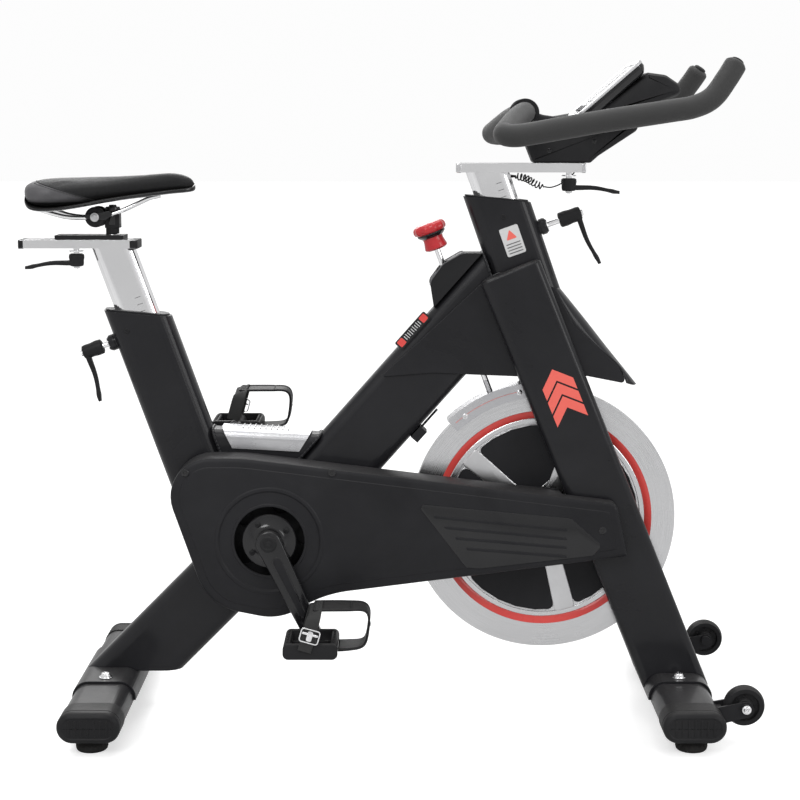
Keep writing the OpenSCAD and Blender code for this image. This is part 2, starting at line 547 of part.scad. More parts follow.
module lever(stud, hub_h, arm) {
    translate([0, 0, -stud]) cylinder(r = 4.8, h = stud + 1);
    cylinder(r1 = 13, r2 = 11, h = hub_h);
    translate([0, 0, hub_h]) cylinder(r = 5, h = 3);
    translate([0, 0, hub_h - 10]) rotate([0, -6, 0]) linear_extrude(9) polygon(belt_loop([0, 0], 10, [arm, 0], 7, 10));
}
module seat_post_lever() color(plastic) leaned(seat_top, post_lean) translate([-tube_w / 2 - 12.5, 0, seat_screw_z])
    rotate([0, -90, 0]) mirror([1, 0, 0]) lever(28, 50, 80);
module bar_post_lever() color(plastic) leaned(head_top, post_lean) translate([tube_w / 2 + 12.5, 0, head_screw_z])
    rotate([0, 90, 0]) lever(28, 62, 84);
module seat_slide_lever() color(plastic) translate([seat_screw_x, 0, seat_rail_z[0] - 5]) rotate([180, 0, 180])
    lever(18, 27, 80);
module bar_slide_lever() color(plastic) translate([bar_screw_x, 0, bar_rail_z[0] - 5]) rotate([180, 0, 0])
    lever(18, 27, 78);

// ---- Brake: the rod slides in a sleeve and presses the magnet arm over the rim ----

rod_end = -257;                              // lower end of the rod from the knob
sleeve_end = -243;
shroud_outline = [[-6, 576], [117, 586], [332, 582], [416, 557], [283, 722], [120, 735]];
module brake_housing() color(plastic) {
    difference() {
        slab(-24, 24) polygon(rounded_poly([[76, 680], [68, 731], [89, 760], [120, 778], [175, 778], [175, 740]],
            [0, 14, 24, 14, 0, 0]));
        leaned(beam_point, beam_angle - 90) box_bar(beam_w + 2 * weld_gap, tube_t + 20, 1, 0, 500);
        leaned(head_top, post_lean) box_bar(tube_w + 2 * weld_gap, tube_t + 20, 1, -300, 40);
        brake_rod_bore(11.5);
    }
    leaned(rod_point, rod_lean) translate([0, 0, sleeve_end]) difference() {
        cylinder(r = 11.3, h = -sleeve_end - 52);
        translate([0, 0, -1]) cylinder(r = 5 + fit, h = 300);
    }
}
module brake_rod() color(chrome) leaned(rod_point, rod_lean) translate([0, 0, rod_end]) cylinder(r = 5, h = 10 - rod_end);
module brake_knob() color("#b3202a") leaned(rod_point, rod_lean) rotate_extrude() polygon([[5 + fit, -23], [15, -23],
    [19, -20], [17, 0], [24, 4], [27, 10], [27, 16], [22, 22], [10, 24], [0, 24], [0, 10 + gap], [5 + fit, 10 + gap]]);
// Channel over the rim with its magnets, the stud that meets the rod, and the pivot eye
function rim_arc(r0, r1, a0, a1) = concat(arc(hub, r1, a0, a1, 16), arc(hub, r0, a1, a0, 16));
arm_top = flywheel_r + 7.5;                  // inside of the channel above the rim
module brake_arm() color(chrome) difference() {
    union() {
        slab(-20, 20) polygon(rim_arc(arm_top, arm_top + 3, 86, 134));
        mirrored_y() slab(17, 20) polygon(rim_arc(arm_top - 22, arm_top + 3, 97, 134));
        mirrored_y() for (k = [0:3]) slab(13.2, 17.1)
            polygon(rim_arc(arm_top - 20, arm_top - 8, 99 + 8.5 * k, 105 + 8.5 * k));
        slab(-10, 10) polygon(rim_arc(arm_top + 2, arm_top + 14, 86, 92));
        pin_y(brake_pivot, 9, -20, 20);
        leaned(rod_point, rod_lean) translate([0, 0, rod_end - 22]) cylinder(r = 5, h = 22 - gap);
    }
    pin_y(brake_pivot, 4 + fit, -21, 21);
}
// Two side panels outside the beam and head tube, joined by the front band
module flywheel_shroud() color(plastic) difference() {
    slab(-31, 31) polygon(rounded_poly([[-14, 573], [90, 584], [334, 580], [416, 557], [283, 722], [182, 748], [162, 738]],
        [3, 60, 0, 2, 0, 8, 8]));
    slab(-28.4, 28.4) polygon([[-60, 500], [-60, 800], [260, 800], [279, 718], [411, 556], [430, 500]]);
    leaned(head_top, post_lean) box_bar(tube_w + 2 * weld_gap, 40, 1, -252, 40);
}
module speed_sensor() color(plastic) leaned(beam_point, beam_angle - 90) {
    translate([beam_w / 2 + weld_gap, -17, 98]) cube([15, 34, 24]);
    translate([beam_w / 2 + 4, 0, 121]) cylinder(r = 2, h = 40);
}

seat_tube();
main_beam();
rear_leg();
cross_tube();
head_tube();
fork_blades();
side_rails();
bottom_bracket_shell();
bottom_bracket_bearings();
stabiliser_plates();
stabilisers();
stabiliser_end_caps();
stabiliser_bolts();
belt_guard_outer();
belt_guard_inner();
drive_belt();
step_plate();
flywheel_shroud();
brake_housing();
speed_sensor();
post_liners();
axle_hardware();
wheel_brackets();
levelling_feet();
flywheel();
flywheel_inserts();
flywheel_pulley();
crank_axle();
crank_pulley();
crank_arm_right();
crank_arm_left();
pedal_axles();
pedal_right();
toe_cage_right();
pedal_left();
toe_cage_left();
seat_post();
saddle_carriage();
saddle_rails();
saddle_base();
saddle_cover();
bar_post();
handlebar();
bar_cover();
console();
console_screen();
cord_coil();
cord_lead();
seat_post_lever();
seat_slide_lever();
bar_post_lever();
bar_slide_lever();
transport_wheel_right();
transport_wheel_left();
brake_knob();
brake_rod();
brake_arm();
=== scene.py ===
"""An indoor exercise bike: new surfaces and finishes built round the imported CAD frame.

Lengths below are in millimetres and become metres when a mesh is made. x runs towards the front,
y towards the rider's left and z up. "Right" pieces lie at negative y.
"""
import math

import bmesh
import bpy
import numpy as np
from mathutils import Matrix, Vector
from mathutils.bvhtree import BVHTree


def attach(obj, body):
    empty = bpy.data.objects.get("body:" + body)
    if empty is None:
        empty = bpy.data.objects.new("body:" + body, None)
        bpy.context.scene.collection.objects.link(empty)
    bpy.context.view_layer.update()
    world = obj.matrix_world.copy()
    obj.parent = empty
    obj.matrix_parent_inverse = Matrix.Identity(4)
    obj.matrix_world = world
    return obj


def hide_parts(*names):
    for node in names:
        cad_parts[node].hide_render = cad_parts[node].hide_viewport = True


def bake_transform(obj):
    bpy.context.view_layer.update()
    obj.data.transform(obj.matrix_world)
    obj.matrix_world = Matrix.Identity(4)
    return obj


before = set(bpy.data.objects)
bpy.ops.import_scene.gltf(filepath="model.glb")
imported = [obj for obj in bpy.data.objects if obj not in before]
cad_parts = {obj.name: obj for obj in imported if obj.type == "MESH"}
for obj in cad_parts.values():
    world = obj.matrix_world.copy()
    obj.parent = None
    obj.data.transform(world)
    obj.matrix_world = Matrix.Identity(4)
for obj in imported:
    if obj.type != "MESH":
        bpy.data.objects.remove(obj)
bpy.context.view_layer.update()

MM = 0.001

# ---- Driving dimensions, the same as the frame's ----

post_lean = 19.5
tube_w = 102
tube_t = 56
beam_w = 116
beam_angle = 48.5
beam_point = (-71.9, 435.1)
seat_top = (-418, 678)
head_top = (178.5, 866)
bracket = (-197, 308)
hub = (260, 330)
blade_top = (205, 735)
blade_lean = 22.2
blade_w = 104
blade_t = 28
blade_y = 46
stab_x = (-474, 485)
stab_z = 45
stab_w = 98
stab_h = 48
stab_half = 246
bolt_y = 82
foot_y = 222
guard_face = -90
guard_open = -32
crank_angle = 65
crank_len = 170
arm_y = (95, 111)
pedal_y = (114, 206)
pedal_x = 44
wheel_at = (574, 61)
wheel_y = 190
wheel_r = 33
rod_point = (72, 805)
rod_lean = 20.5
seat_rail = (-607, -416)
seat_rail_z = (786, 800)
bar_rail = (114, 321)
bar_rail_z = (910, 925)
rail_w = 50
seat_screw_x = -518
bar_screw_x = 297
tilt_axis = (-482, 837)
bar_r = 17.5
console_at = (300, 1000)
console_lean = 40.7


# ---- Outlines ----

def unit(v):
    """Each row divided by its own length."""
    return v / np.linalg.norm(v, axis=-1, keepdims=True)


def circle(radius, count=32):
    """A circle about the origin: radius times cosine and sine of evenly spaced angles."""
    turn = np.linspace(0, 2 * np.pi, count, endpoint=False)
    return radius * np.column_stack([np.cos(turn), np.sin(turn)])


def oval(width, height, power=2.0, count=48):
    """A superellipse: half sizes times cosine and sine raised to 2/power, signs kept."""
    turn = np.linspace(0, 2 * np.pi, count, endpoint=False)
    c, s = np.cos(turn), np.sin(turn)
    return np.column_stack([
        width / 2 * np.sign(c) * np.abs(c) ** (2 / power),
        height / 2 * np.sign(s) * np.abs(s) ** (2 / power),
    ])


def rounded_outline(corners, radii, steps=6):
    """Each corner becomes an arc that touches both sides; its centre lies on the corner's
    bisector, at radius over the sine of the half angle."""
    b = np.array(corners, float)
    r = np.maximum(np.broadcast_to(np.array(radii, float), len(b)), 0.2)[:, None]
    u = unit(np.roll(b, 1, 0) - b)
    v = unit(np.roll(b, -1, 0) - b)
    half = np.arccos(np.clip((u * v).sum(1), -1, 1))[:, None] / 2
    centre = b + unit(u + v) * r / np.sin(half)
    start = b + u * r / np.tan(half) - centre
    stop = b + v * r / np.tan(half) - centre
    first = np.arctan2(start[:, 1], start[:, 0])
    turn = np.arctan2(start[:, 0] * stop[:, 1] - start[:, 1] * stop[:, 0], (start * stop).sum(1))
    angle = first[:, None] + turn[:, None] * np.linspace(0, 1, steps + 1)
    points = centre[:, None] + r[:, None] * np.stack([np.cos(angle), np.sin(angle)], -1)
    return points.reshape(-1, 2)


def rounded_box(width, depth, radius, steps=6):
    """A rectangle about the origin with its corners rounded."""
    w, d = width / 2, depth / 2
    return rounded_outline([(w, d), (-w, d), (-w, -d), (w, -d)], radius, steps)


def stadium(r0, length, r1, steps=12):
    """Two circles on the x axis, r0 at the origin and r1 at the length, with their tangents."""
    lean = math.degrees(math.acos((r0 - r1) / length))
    near = np.radians(np.linspace(lean, 360 - lean, 2 * steps + 1))
    far = np.radians(np.linspace(-lean, lean, steps + 1))
    return np.vstack([
        r0 * np.column_stack([np.cos(near), np.sin(near)]),
        [length, 0] + r1 * np.column_stack([np.cos(far), np.sin(far)]),
    ])


def resampled(points, count, closed=True):
    """The same line with evenly spaced points, by its running length."""
    line = np.vstack([points, points[:1]]) if closed else np.array(points, float)
    run = np.concatenate([[0], np.cumsum(np.linalg.norm(np.diff(line, axis=0), axis=1))])
    at = np.linspace(0, run[-1], count, endpoint=not closed)
    return np.column_stack([np.interp(at, run, line[:, k]) for k in range(line.shape[1])])


def inset(outline, distance):
    """Every side of a closed outline moved inwards by the distance, corners mitred."""
    before = unit(outline - np.roll(outline, 1, 0))
    after = unit(np.roll(outline, -1, 0) - outline)
    following = np.roll(outline, -1, 0)
    area = (outline[:, 0] * following[:, 1] - outline[:, 1] * following[:, 0]).sum()
    quarter = np.array([[0, 1], [-1, 0]]) * np.sign(area)
    middle = unit(before @ quarter + after @ quarter)
    reach = (middle * (before @ quarter)).sum(1, keepdims=True)
    return outline + distance * middle / np.maximum(reach, 0.4)


def smooth_line(points, steps):
    """A Catmull-Rom curve through the points, steps pieces from each to the next."""
    p = np.array(points, float)
    a, b, c, d = np.vstack([p[:1], p[:-2]]), p[:-1], p[1:], np.vstack([p[2:], p[-1:]])
    t = np.linspace(0, 1, steps, endpoint=False)[None, :, None]
    a, b, c, d = (q[:, None] for q in (a, b, c, d))
    curve = 0.5 * (2 * b + (c - a) * t + (2 * a - 5 * b + 4 * c - d) * t ** 2
                   + (3 * b - a - 3 * c + d) * t ** 3)
    return np.vstack([curve.reshape(-1, p.shape[1]), p[-1:]])


# ---- Shapes: each is (points, faces) ----

def grid_faces(rows, columns, wrap_rows=False, wrap_columns=False):
    """Quads between neighbouring points of a rows by columns grid, numbered row by row."""
    i = np.arange(rows if wrap_rows else rows - 1)[:, None]
    j = np.arange(columns if wrap_columns else columns - 1)[None, :]
    i1, j1 = (i + 1) % rows, (j + 1) % columns
    corners = [i * columns + j, i * columns + j1, i1 * columns + j1, i1 * columns + j]
    return np.stack([c.ravel() for c in np.broadcast_arrays(*corners)], -1).tolist()


def loft(rings, caps=True, closed=False):
    """Rings of equal point counts joined in order, with flat caps unless it closes on itself."""
    rings = np.array(rings, float)
    m, n = rings.shape[:2]
    faces = grid_faces(m, n, closed, True)
    if caps and not closed:
        faces.append(list(range(n)))
        faces.append(list(range((m - 1) * n, m * n)))
    return rings.reshape(-1, 3), faces


def sheet_grid(points):
    """An open surface over a rows by columns grid of points."""
    points = np.array(points, float)
    return points.reshape(-1, 3), grid_faces(*points.shape[:2])


def join(*shapes):
    """Several shapes as one, the face numbers moved up by the points before them."""
    points, faces, count = [], [], 0
    for p, f in shapes:
        points.append(p)
        faces.extend([[k + count for k in face] for face in f])
        count += len(p)
    return np.vstack(points), faces


def slab(outline, y0, y1, edge=1.0, steps=3):
    """A side-view outline from y0 to y1 with round edges: the inset is edge times one minus
    sine, the height edge times one minus cosine, over a quarter turn."""
    turn = np.linspace(0, np.pi / 2, steps + 1)
    ease = [(edge * (1 - np.sin(t)), edge * (1 - np.cos(t))) for t in turn]
    levels = [(i, y0 + h) for i, h in ease] + [(i, y1 - h) for i, h in reversed(ease)]
    rings = []
    for amount, y in levels:
        flat = inset(outline, amount)
        rings.append(np.column_stack([flat[:, 0], np.full(len(flat), y), flat[:, 1]]))
    return loft(rings)


def prism(outline, z0, z1, edge=1.0, steps=3):
    """A plan outline from z0 to z1 with round edges, made like a slab and stood up."""
    points, faces = slab(outline, z0, z1, edge, steps)
    return points[:, [0, 2, 1]], faces


def spun(profile, sides=40, closed=False):
    """A profile of (radius, height) turned about the z axis."""
    profile = np.array(profile, float)
    turn = np.linspace(0, 2 * np.pi, sides, endpoint=False)[:, None]
    points = np.stack([
        profile[:, 0] * np.cos(turn),
        profile[:, 0] * np.sin(turn),
        np.broadcast_to(profile[:, 1], (sides, len(profile))),
    ], -1)
    return points.reshape(-1, 3), grid_faces(sides, len(profile), True, closed)


def pin(radius, z0, z1, edge=0.8, sides=32):
    """A round bar along z with chamfered ends."""
    return spun([(0, z0), (radius - edge, z0), (radius, z0 + edge), (radius, z1 - edge),
                 (radius - edge, z1), (0, z1)], sides)


def swept(path, section, up=(0, 0, 1), scale=None, closed=False, caps=True):
    """A flat section carried along a path: its first axis lies along the tangent crossed with
    up, its second square to both."""
    path = np.array(path, float)
    if closed:
        tangent = unit(np.roll(path, -1, 0) - np.roll(path, 1, 0))
    else:
        tangent = unit(np.gradient(path, axis=0))
    first = unit(np.cross(tangent, np.broadcast_to(np.array(up, float), path.shape)))
    second = np.cross(first, tangent)
    size = np.ones(len(path)) if scale is None else np.array(scale, float)
    s = np.array(section, float)[None] * size[:, None, None]
    rings = path[:, None] + s[..., :1] * first[:, None] + s[..., 1:] * second[:, None]
    return loft(rings, caps, closed)


def moved(shape, dx=0, dy=0, dz=0):
    """The shape shifted."""
    return shape[0] + np.array([dx, dy, dz], float), shape[1]


def leaned(shape, at, angle):
    """The shape leaned rearwards by the angle and put at a side-view point."""
    c, s = math.cos(math.radians(angle)), math.sin(math.radians(angle))
    x, y, z = shape[0].T
    return np.column_stack([at[0] + x * c - z * s, y, at[1] + x * s + z * c]), shape[1]


def turned_z(shape, angle):
    """The shape turned about the z axis."""
    c, s = math.cos(math.radians(angle)), math.sin(math.radians(angle))
    x, y, z = shape[0].T
    return np.column_stack([x * c - y * s, x * s + y * c, z]), shape[1]


def along_y(shape):
    """A shape drawn along z laid down so that its z axis points to the right (negative y)."""
    x, y, z = shape[0].T
    return np.column_stack([x, -z, y]), shape[1]


def along_x(shape):
    """A shape drawn along z laid down so that its z axis points to the front."""
    x, y, z = shape[0].T
    return np.column_stack([z, y, -x]), shape[1]


def mirrored(shape):
    """The shape on the other side of the middle plane."""
    return shape[0] * np.array([1, -1, 1]), [face[::-1] for face in shape[1]]


def both(shape):
    """The shape and its mirror image."""
    return join(shape, mirrored(shape))


def wheel_of(shape, count, start=0):
    """The shape repeated round the z axis."""
    return join(*[turned_z(shape, start + 360 * k / count) for k in range(count)])


def on_hub(shape, at, y):
    """A shape drawn along z laid on the right side at a side-view point, its base at y."""
    return moved(along_y(shape), at[0], y, at[1])


# ---- Making a piece ----

def piece(name, shape, material, body, sharp=35, solid=0, ride=True):
    """A mesh object in metres, doubles merged, normals outwards, smooth but for sharp edges."""
    points, faces = shape
    mesh = bpy.data.meshes.new(name)
    mesh.from_pydata((np.array(points) * MM).tolist(), [], faces)
    bm = bmesh.new()
    bm.from_mesh(mesh)
    bmesh.ops.remove_doubles(bm, verts=bm.verts, dist=0.000004)
    bmesh.ops.dissolve_degenerate(bm, edges=bm.edges, dist=0.000002)
    bmesh.ops.recalc_face_normals(bm, faces=bm.faces)
    bm.to_mesh(mesh)
    bm.free()
    mesh.shade_smooth()
    mesh.set_sharp_from_angle(angle=math.radians(sharp))
    mesh.materials.append(material)
    obj = bpy.data.objects.new(name, mesh)
    bpy.context.scene.collection.objects.link(obj)
    if solid:
        wall = obj.modifiers.new("wall", "SOLIDIFY")
        wall.thickness = solid * MM
        wall.offset = -1
    if ride:
        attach(obj, body)
    return obj


# ---- Node groups ----

def sockets(group, inputs, outputs):
    """Named inputs (name, kind, value) and outputs (name, kind) on a node group."""
    for name, kind, value in inputs:
        made = group.interface.new_socket(name, in_out="INPUT", socket_type=kind)
        if value is not None:
            made.default_value = value
    for name, kind in outputs:
        group.interface.new_socket(name, in_out="OUTPUT", socket_type=kind)


def math_node(tree, operation, a, b=None, clamp=False):
    """A Math node fed by sockets or numbers; gives its output."""
    node = tree.nodes.new("ShaderNodeMath")
    node.operation = operation
    node.use_clamp = clamp
    for k, value in enumerate((a, b)):
        if value is None:
            continue
        if isinstance(value, (int, float)):
            node.inputs[k].default_value = value
        else:
            tree.links.new(value, node.inputs[k])
    return node.outputs[0]


def new_group(name, inputs, outputs):
    """An empty shader node group with its input and output nodes."""
    group = bpy.data.node_groups.new(name, "ShaderNodeTree")
    sockets(group, inputs, outputs)
    return group, group.nodes.new("NodeGroupInput"), group.nodes.new("NodeGroupOutput")


def noise_node(tree, vector, scale, detail=3.0, rough=0.5, distortion=0.0):
    """A Noise texture; scale is a socket or a number."""
    node = tree.nodes.new("ShaderNodeTexNoise")
    tree.links.new(vector, node.inputs["Vector"])
    if isinstance(scale, (int, float)):
        node.inputs["Scale"].default_value = scale
    else:
        tree.links.new(scale, node.inputs["Scale"])
    node.inputs["Detail"].default_value = detail
    node.inputs["Roughness"].default_value = rough
    node.inputs["Distortion"].default_value = distortion
    return node.outputs[0]


def object_place(tree):
    """Object coordinates in this tree."""
    return tree.nodes.new("ShaderNodeTexCoord").outputs["Object"]


def build_edge_group():
    """Rounded-corner normal, and a broken mask where the surface turns over an edge."""
    group, inside, out = new_group(
        "edge_wear",
        [("Radius", "NodeSocketFloat", 0.001), ("Amount", "NodeSocketFloat", 0.5)],
        [("Normal", "NodeSocketVector"), ("Mask", "NodeSocketFloat")])
    soft = group.nodes.new("ShaderNodeBevel")
    soft.samples = 4
    group.links.new(inside.outputs["Radius"], soft.inputs["Radius"])
    plain = group.nodes.new("ShaderNodeNewGeometry")
    across = group.nodes.new("ShaderNodeVectorMath")
    across.operation = "DOT_PRODUCT"
    group.links.new(soft.outputs[0], across.inputs[0])
    group.links.new(plain.outputs["Normal"], across.inputs[1])
    turn = math_node(group, "SUBTRACT", 1.0, across.outputs["Value"], True)
    turn = math_node(group, "MULTIPLY", turn, 5.0, True)
    patch = noise_node(group, object_place(group), 60.0, 4.0, 0.6)
    patch = math_node(group, "SUBTRACT", patch, 0.42)
    patch = math_node(group, "MULTIPLY", patch, 6.0, True)
    worn = math_node(group, "MULTIPLY", turn, patch)
    worn = math_node(group, "MULTIPLY", worn, inside.outputs["Amount"], True)
    group.links.new(soft.outputs[0], out.inputs["Normal"])
    group.links.new(worn, out.inputs["Mask"])
    return group


def build_grain_group():
    """Fine moulded or sprayed grain as a bump on top of the normal given."""
    group, inside, out = new_group(
        "surface_grain",
        [("Scale", "NodeSocketFloat", 900.0), ("Depth", "NodeSocketFloat", 0.1),
         ("Normal", "NodeSocketVector", None)],
        [("Normal", "NodeSocketVector"), ("Height", "NodeSocketFloat")])
    height = noise_node(group, object_place(group), inside.outputs["Scale"], 2.0)
    bump = group.nodes.new("ShaderNodeBump")
    bump.inputs["Distance"].default_value = 0.0006
    group.links.new(inside.outputs["Depth"], bump.inputs["Strength"])
    group.links.new(height, bump.inputs["Height"])
    group.links.new(inside.outputs["Normal"], bump.inputs["Normal"])
    group.links.new(bump.outputs[0], out.inputs["Normal"])
    group.links.new(height, out.inputs["Height"])
    return group


def build_patch_group():
    """Slow cloudy variation from 0 to 1, as of handling and uneven gloss."""
    group, inside, out = new_group(
        "cloudy",
        [("Scale", "NodeSocketFloat", 9.0)],
        [("Mask", "NodeSocketFloat")])
    cloud = noise_node(group, object_place(group), inside.outputs["Scale"], 5.0, 0.62, 0.4)
    cloud = math_node(group, "SUBTRACT", cloud, 0.3)
    cloud = math_node(group, "MULTIPLY", cloud, 2.5, True)
    group.links.new(cloud, out.inputs["Mask"])
    return group


def build_dust_group():
    """Thin dust on faces that look up: the normal's height, broken up by noise."""
    group, inside, out = new_group(
        "settled_dust",
        [("Amount", "NodeSocketFloat", 0.3)],
        [("Mask", "NodeSocketFloat")])
    split = group.nodes.new("ShaderNodeSeparateXYZ")
    group.links.new(group.nodes.new("ShaderNodeNewGeometry").outputs["Normal"], split.inputs[0])
    flat = math_node(group, "SUBTRACT", split.outputs["Z"], 0.55)
    flat = math_node(group, "MULTIPLY", flat, 2.2, True)
    speck = noise_node(group, object_place(group), 140.0, 5.0, 0.7)
    dust = math_node(group, "MULTIPLY", flat, speck)
    dust = math_node(group, "MULTIPLY", dust, inside.outputs["Amount"], True)
    group.links.new(dust, out.inputs["Mask"])
    return group


def build_brush_group():
    """Fine lines along one direction: noise on coordinates stretched by the Stretch vector."""
    group, inside, out = new_group(
        "brushed_lines",
        [("Stretch", "NodeSocketVector", (1.0, 1.0, 1.0)), ("Depth", "NodeSocketFloat", 0.2),
         ("Normal", "NodeSocketVector", None)],
        [("Normal", "NodeSocketVector"), ("Height", "NodeSocketFloat")])
    stretch = group.nodes.new("ShaderNodeVectorMath")
    stretch.operation = "MULTIPLY"
    group.links.new(object_place(group), stretch.inputs[0])
    group.links.new(inside.outputs["Stretch"], stretch.inputs[1])
    height = noise_node(group, stretch.outputs[0], 1.0, 4.0, 0.7)
    bump = group.nodes.new("ShaderNodeBump")
    bump.inputs["Distance"].default_value = 0.0003
    group.links.new(inside.outputs["Depth"], bump.inputs["Strength"])
    group.links.new(height, bump.inputs["Height"])
    group.links.new(inside.outputs["Normal"], bump.inputs["Normal"])
    group.links.new(bump.outputs[0], out.inputs["Normal"])
    group.links.new(height, out.inputs["Height"])
    return group


def build_turned_group():
    """Concentric lathe lines: noise on the distance from an axle along y, with a slow angle."""
    group, inside, out = new_group(
        "lathe_lines",
        [("Centre", "NodeSocketVector", (0.0, 0.0, 0.0)), ("Depth", "NodeSocketFloat", 0.2),
         ("Normal", "NodeSocketVector", None)],
        [("Normal", "NodeSocketVector"), ("Height", "NodeSocketFloat")])
    out_from = group.nodes.new("ShaderNodeVectorMath")
    out_from.operation = "SUBTRACT"
    group.links.new(object_place(group), out_from.inputs[0])
    group.links.new(inside.outputs["Centre"], out_from.inputs[1])
    split = group.nodes.new("ShaderNodeSeparateXYZ")
    group.links.new(out_from.outputs[0], split.inputs[0])
    xx = math_node(group, "MULTIPLY", split.outputs["X"], split.outputs["X"])
    zz = math_node(group, "MULTIPLY", split.outputs["Z"], split.outputs["Z"])
    radius = math_node(group, "SQRT", math_node(group, "ADD", xx, zz))
    angle = math_node(group, "ARCTAN2", split.outputs["Z"], split.outputs["X"])
    around = group.nodes.new("ShaderNodeCombineXYZ")
    group.links.new(math_node(group, "MULTIPLY", radius, 900.0), around.inputs["X"])
    group.links.new(math_node(group, "MULTIPLY", angle, 3.0), around.inputs["Y"])
    group.links.new(math_node(group, "MULTIPLY", split.outputs["Y"], 900.0), around.inputs["Z"])
    height = noise_node(group, around.outputs[0], 1.0, 3.0, 0.6)
    bump = group.nodes.new("ShaderNodeBump")
    bump.inputs["Distance"].default_value = 0.0003
    group.links.new(inside.outputs["Depth"], bump.inputs["Strength"])
    group.links.new(height, bump.inputs["Height"])
    group.links.new(inside.outputs["Normal"], bump.inputs["Normal"])
    group.links.new(bump.outputs[0], out.inputs["Normal"])
    group.links.new(height, out.inputs["Height"])
    return group


def build_hide_group():
    """Leather pebble: rounded Voronoi cells with fine creases between, and pores on top."""
    group, inside, out = new_group(
        "leather_pebble",
        [("Scale", "NodeSocketFloat", 420.0), ("Depth", "NodeSocketFloat", 0.4)],
        [("Normal", "NodeSocketVector"), ("Crease", "NodeSocketFloat")])
    place = object_place(group)
    bend = group.nodes.new("ShaderNodeVectorMath")
    bend.operation = "MULTIPLY_ADD"
    wander = group.nodes.new("ShaderNodeTexNoise")
    wander.inputs["Scale"].default_value = 160.0
    group.links.new(place, wander.inputs["Vector"])
    group.links.new(wander.outputs["Color"], bend.inputs[0])
    bend.inputs[1].default_value = (0.002, 0.002, 0.002)
    group.links.new(place, bend.inputs[2])
    cells = group.nodes.new("ShaderNodeTexVoronoi")
    cells.feature = "DISTANCE_TO_EDGE"
    group.links.new(bend.outputs[0], cells.inputs["Vector"])
    group.links.new(inside.outputs["Scale"], cells.inputs["Scale"])
    pebble = math_node(group, "POWER", math_node(group, "MULTIPLY", cells.outputs[0], 3.0, True), 0.5)
    pores = noise_node(group, place, 2600.0, 2.0)
    height = math_node(group, "ADD", pebble, math_node(group, "MULTIPLY", pores, 0.25))
    bump = group.nodes.new("ShaderNodeBump")
    bump.inputs["Distance"].default_value = 0.0004
    group.links.new(inside.outputs["Depth"], bump.inputs["Strength"])
    group.links.new(height, bump.inputs["Height"])
    group.links.new(bump.outputs[0], out.inputs["Normal"])
    group.links.new(math_node(group, "SUBTRACT", 1.0, pebble, True), out.inputs["Crease"])
    return group


edge_group = build_edge_group()
grain_group = build_grain_group()
patch_group = build_patch_group()
dust_group = build_dust_group()
brush_group = build_brush_group()
turned_group = build_turned_group()
hide_group = build_hide_group()


# ---- Materials ----

def place_group(tree, group, **values):
    """A group node with its own numbers, or links where a socket is given."""
    node = tree.nodes.new("ShaderNodeGroup")
    node.node_tree = group
    for name, value in values.items():
        if isinstance(value, bpy.types.NodeSocket):
            tree.links.new(value, node.inputs[name])
        else:
            node.inputs[name].default_value = value
    return node


def colour_mix(tree, factor, first, second):
    """Mixes two colours, each a socket or three numbers, by a factor socket."""
    node = tree.nodes.new("ShaderNodeMix")
    node.data_type = "RGBA"
    tree.links.new(factor, node.inputs[0])
    for k, value in ((6, first), (7, second)):
        if isinstance(value, bpy.types.NodeSocket):
            tree.links.new(value, node.inputs[k])
        else:
            node.inputs[k].default_value = (*value, 1.0)
    return node.outputs[2]


def shade(name):
    """An empty material: its tree and its Principled shader."""
    material = bpy.data.materials.new(name)
    material.use_nodes = True
    tree = material.node_tree
    return material, tree, tree.nodes["Principled BSDF"]


def rough_from(tree, shader, mask, low, high):
    """Roughness runs from low to high with a mask."""
    spread = math_node(tree, "MULTIPLY", mask, high - low)
    tree.links.new(math_node(tree, "ADD", spread, low), shader.inputs["Roughness"])


def coated(name, colour, tint, worn, rough, grain, coat=0.0, edge=0.9, dust=0.25):
    """Paint or moulded plastic: cloudy tint, worn edges, settled dust and a fine grain.
    rough is (lowest, highest) and grain is (scale, depth)."""
    material, tree, shader = shade(name)
    edges = place_group(tree, edge_group, Radius=edge * MM, Amount=0.35)
    cloud = place_group(tree, patch_group, Scale=7.0)
    settled = place_group(tree, dust_group, Amount=dust)
    texture = place_group(tree, grain_group, Scale=grain[0], Depth=grain[1],
                          Normal=edges.outputs["Normal"])
    base = colour_mix(tree, cloud.outputs["Mask"], colour, tint)
    base = colour_mix(tree, edges.outputs["Mask"], base, worn)
    base = colour_mix(tree, settled.outputs["Mask"], base, (0.16, 0.155, 0.15))
    tree.links.new(base, shader.inputs["Base Color"])
    blotch = math_node(tree, "ADD", cloud.outputs["Mask"], settled.outputs["Mask"], True)
    rough_from(tree, shader, blotch, *rough)
    tree.links.new(texture.outputs["Normal"], shader.inputs["Normal"])
    shader.inputs["Coat Weight"].default_value = coat
    shader.inputs["Coat Roughness"].default_value = 0.12
    shader.inputs["Specular IOR Level"].default_value = 0.13
    return material


def metal(name, colour, tint, rough, stretch, depth, edge=0.5):
    """Bare or plated metal: brushed along one direction, cloudy polish and bright edges."""
    material, tree, shader = shade(name)
    edges = place_group(tree, edge_group, Radius=edge * MM, Amount=0.6)
    cloud = place_group(tree, patch_group, Scale=12.0)
    lines = place_group(tree, brush_group, Stretch=stretch, Depth=depth,
                        Normal=edges.outputs["Normal"])
    base = colour_mix(tree, cloud.outputs["Mask"], colour, tint)
    base = colour_mix(tree, edges.outputs["Mask"], base, (0.95, 0.95, 0.96))
    tree.links.new(base, shader.inputs["Base Color"])
    mixed = math_node(tree, "MULTIPLY", cloud.outputs["Mask"], lines.outputs["Height"])
    rough_from(tree, shader, mixed, *rough)
    tree.links.new(lines.outputs["Normal"], shader.inputs["Normal"])
    shader.inputs["Metallic"].default_value = 1.0
    return material


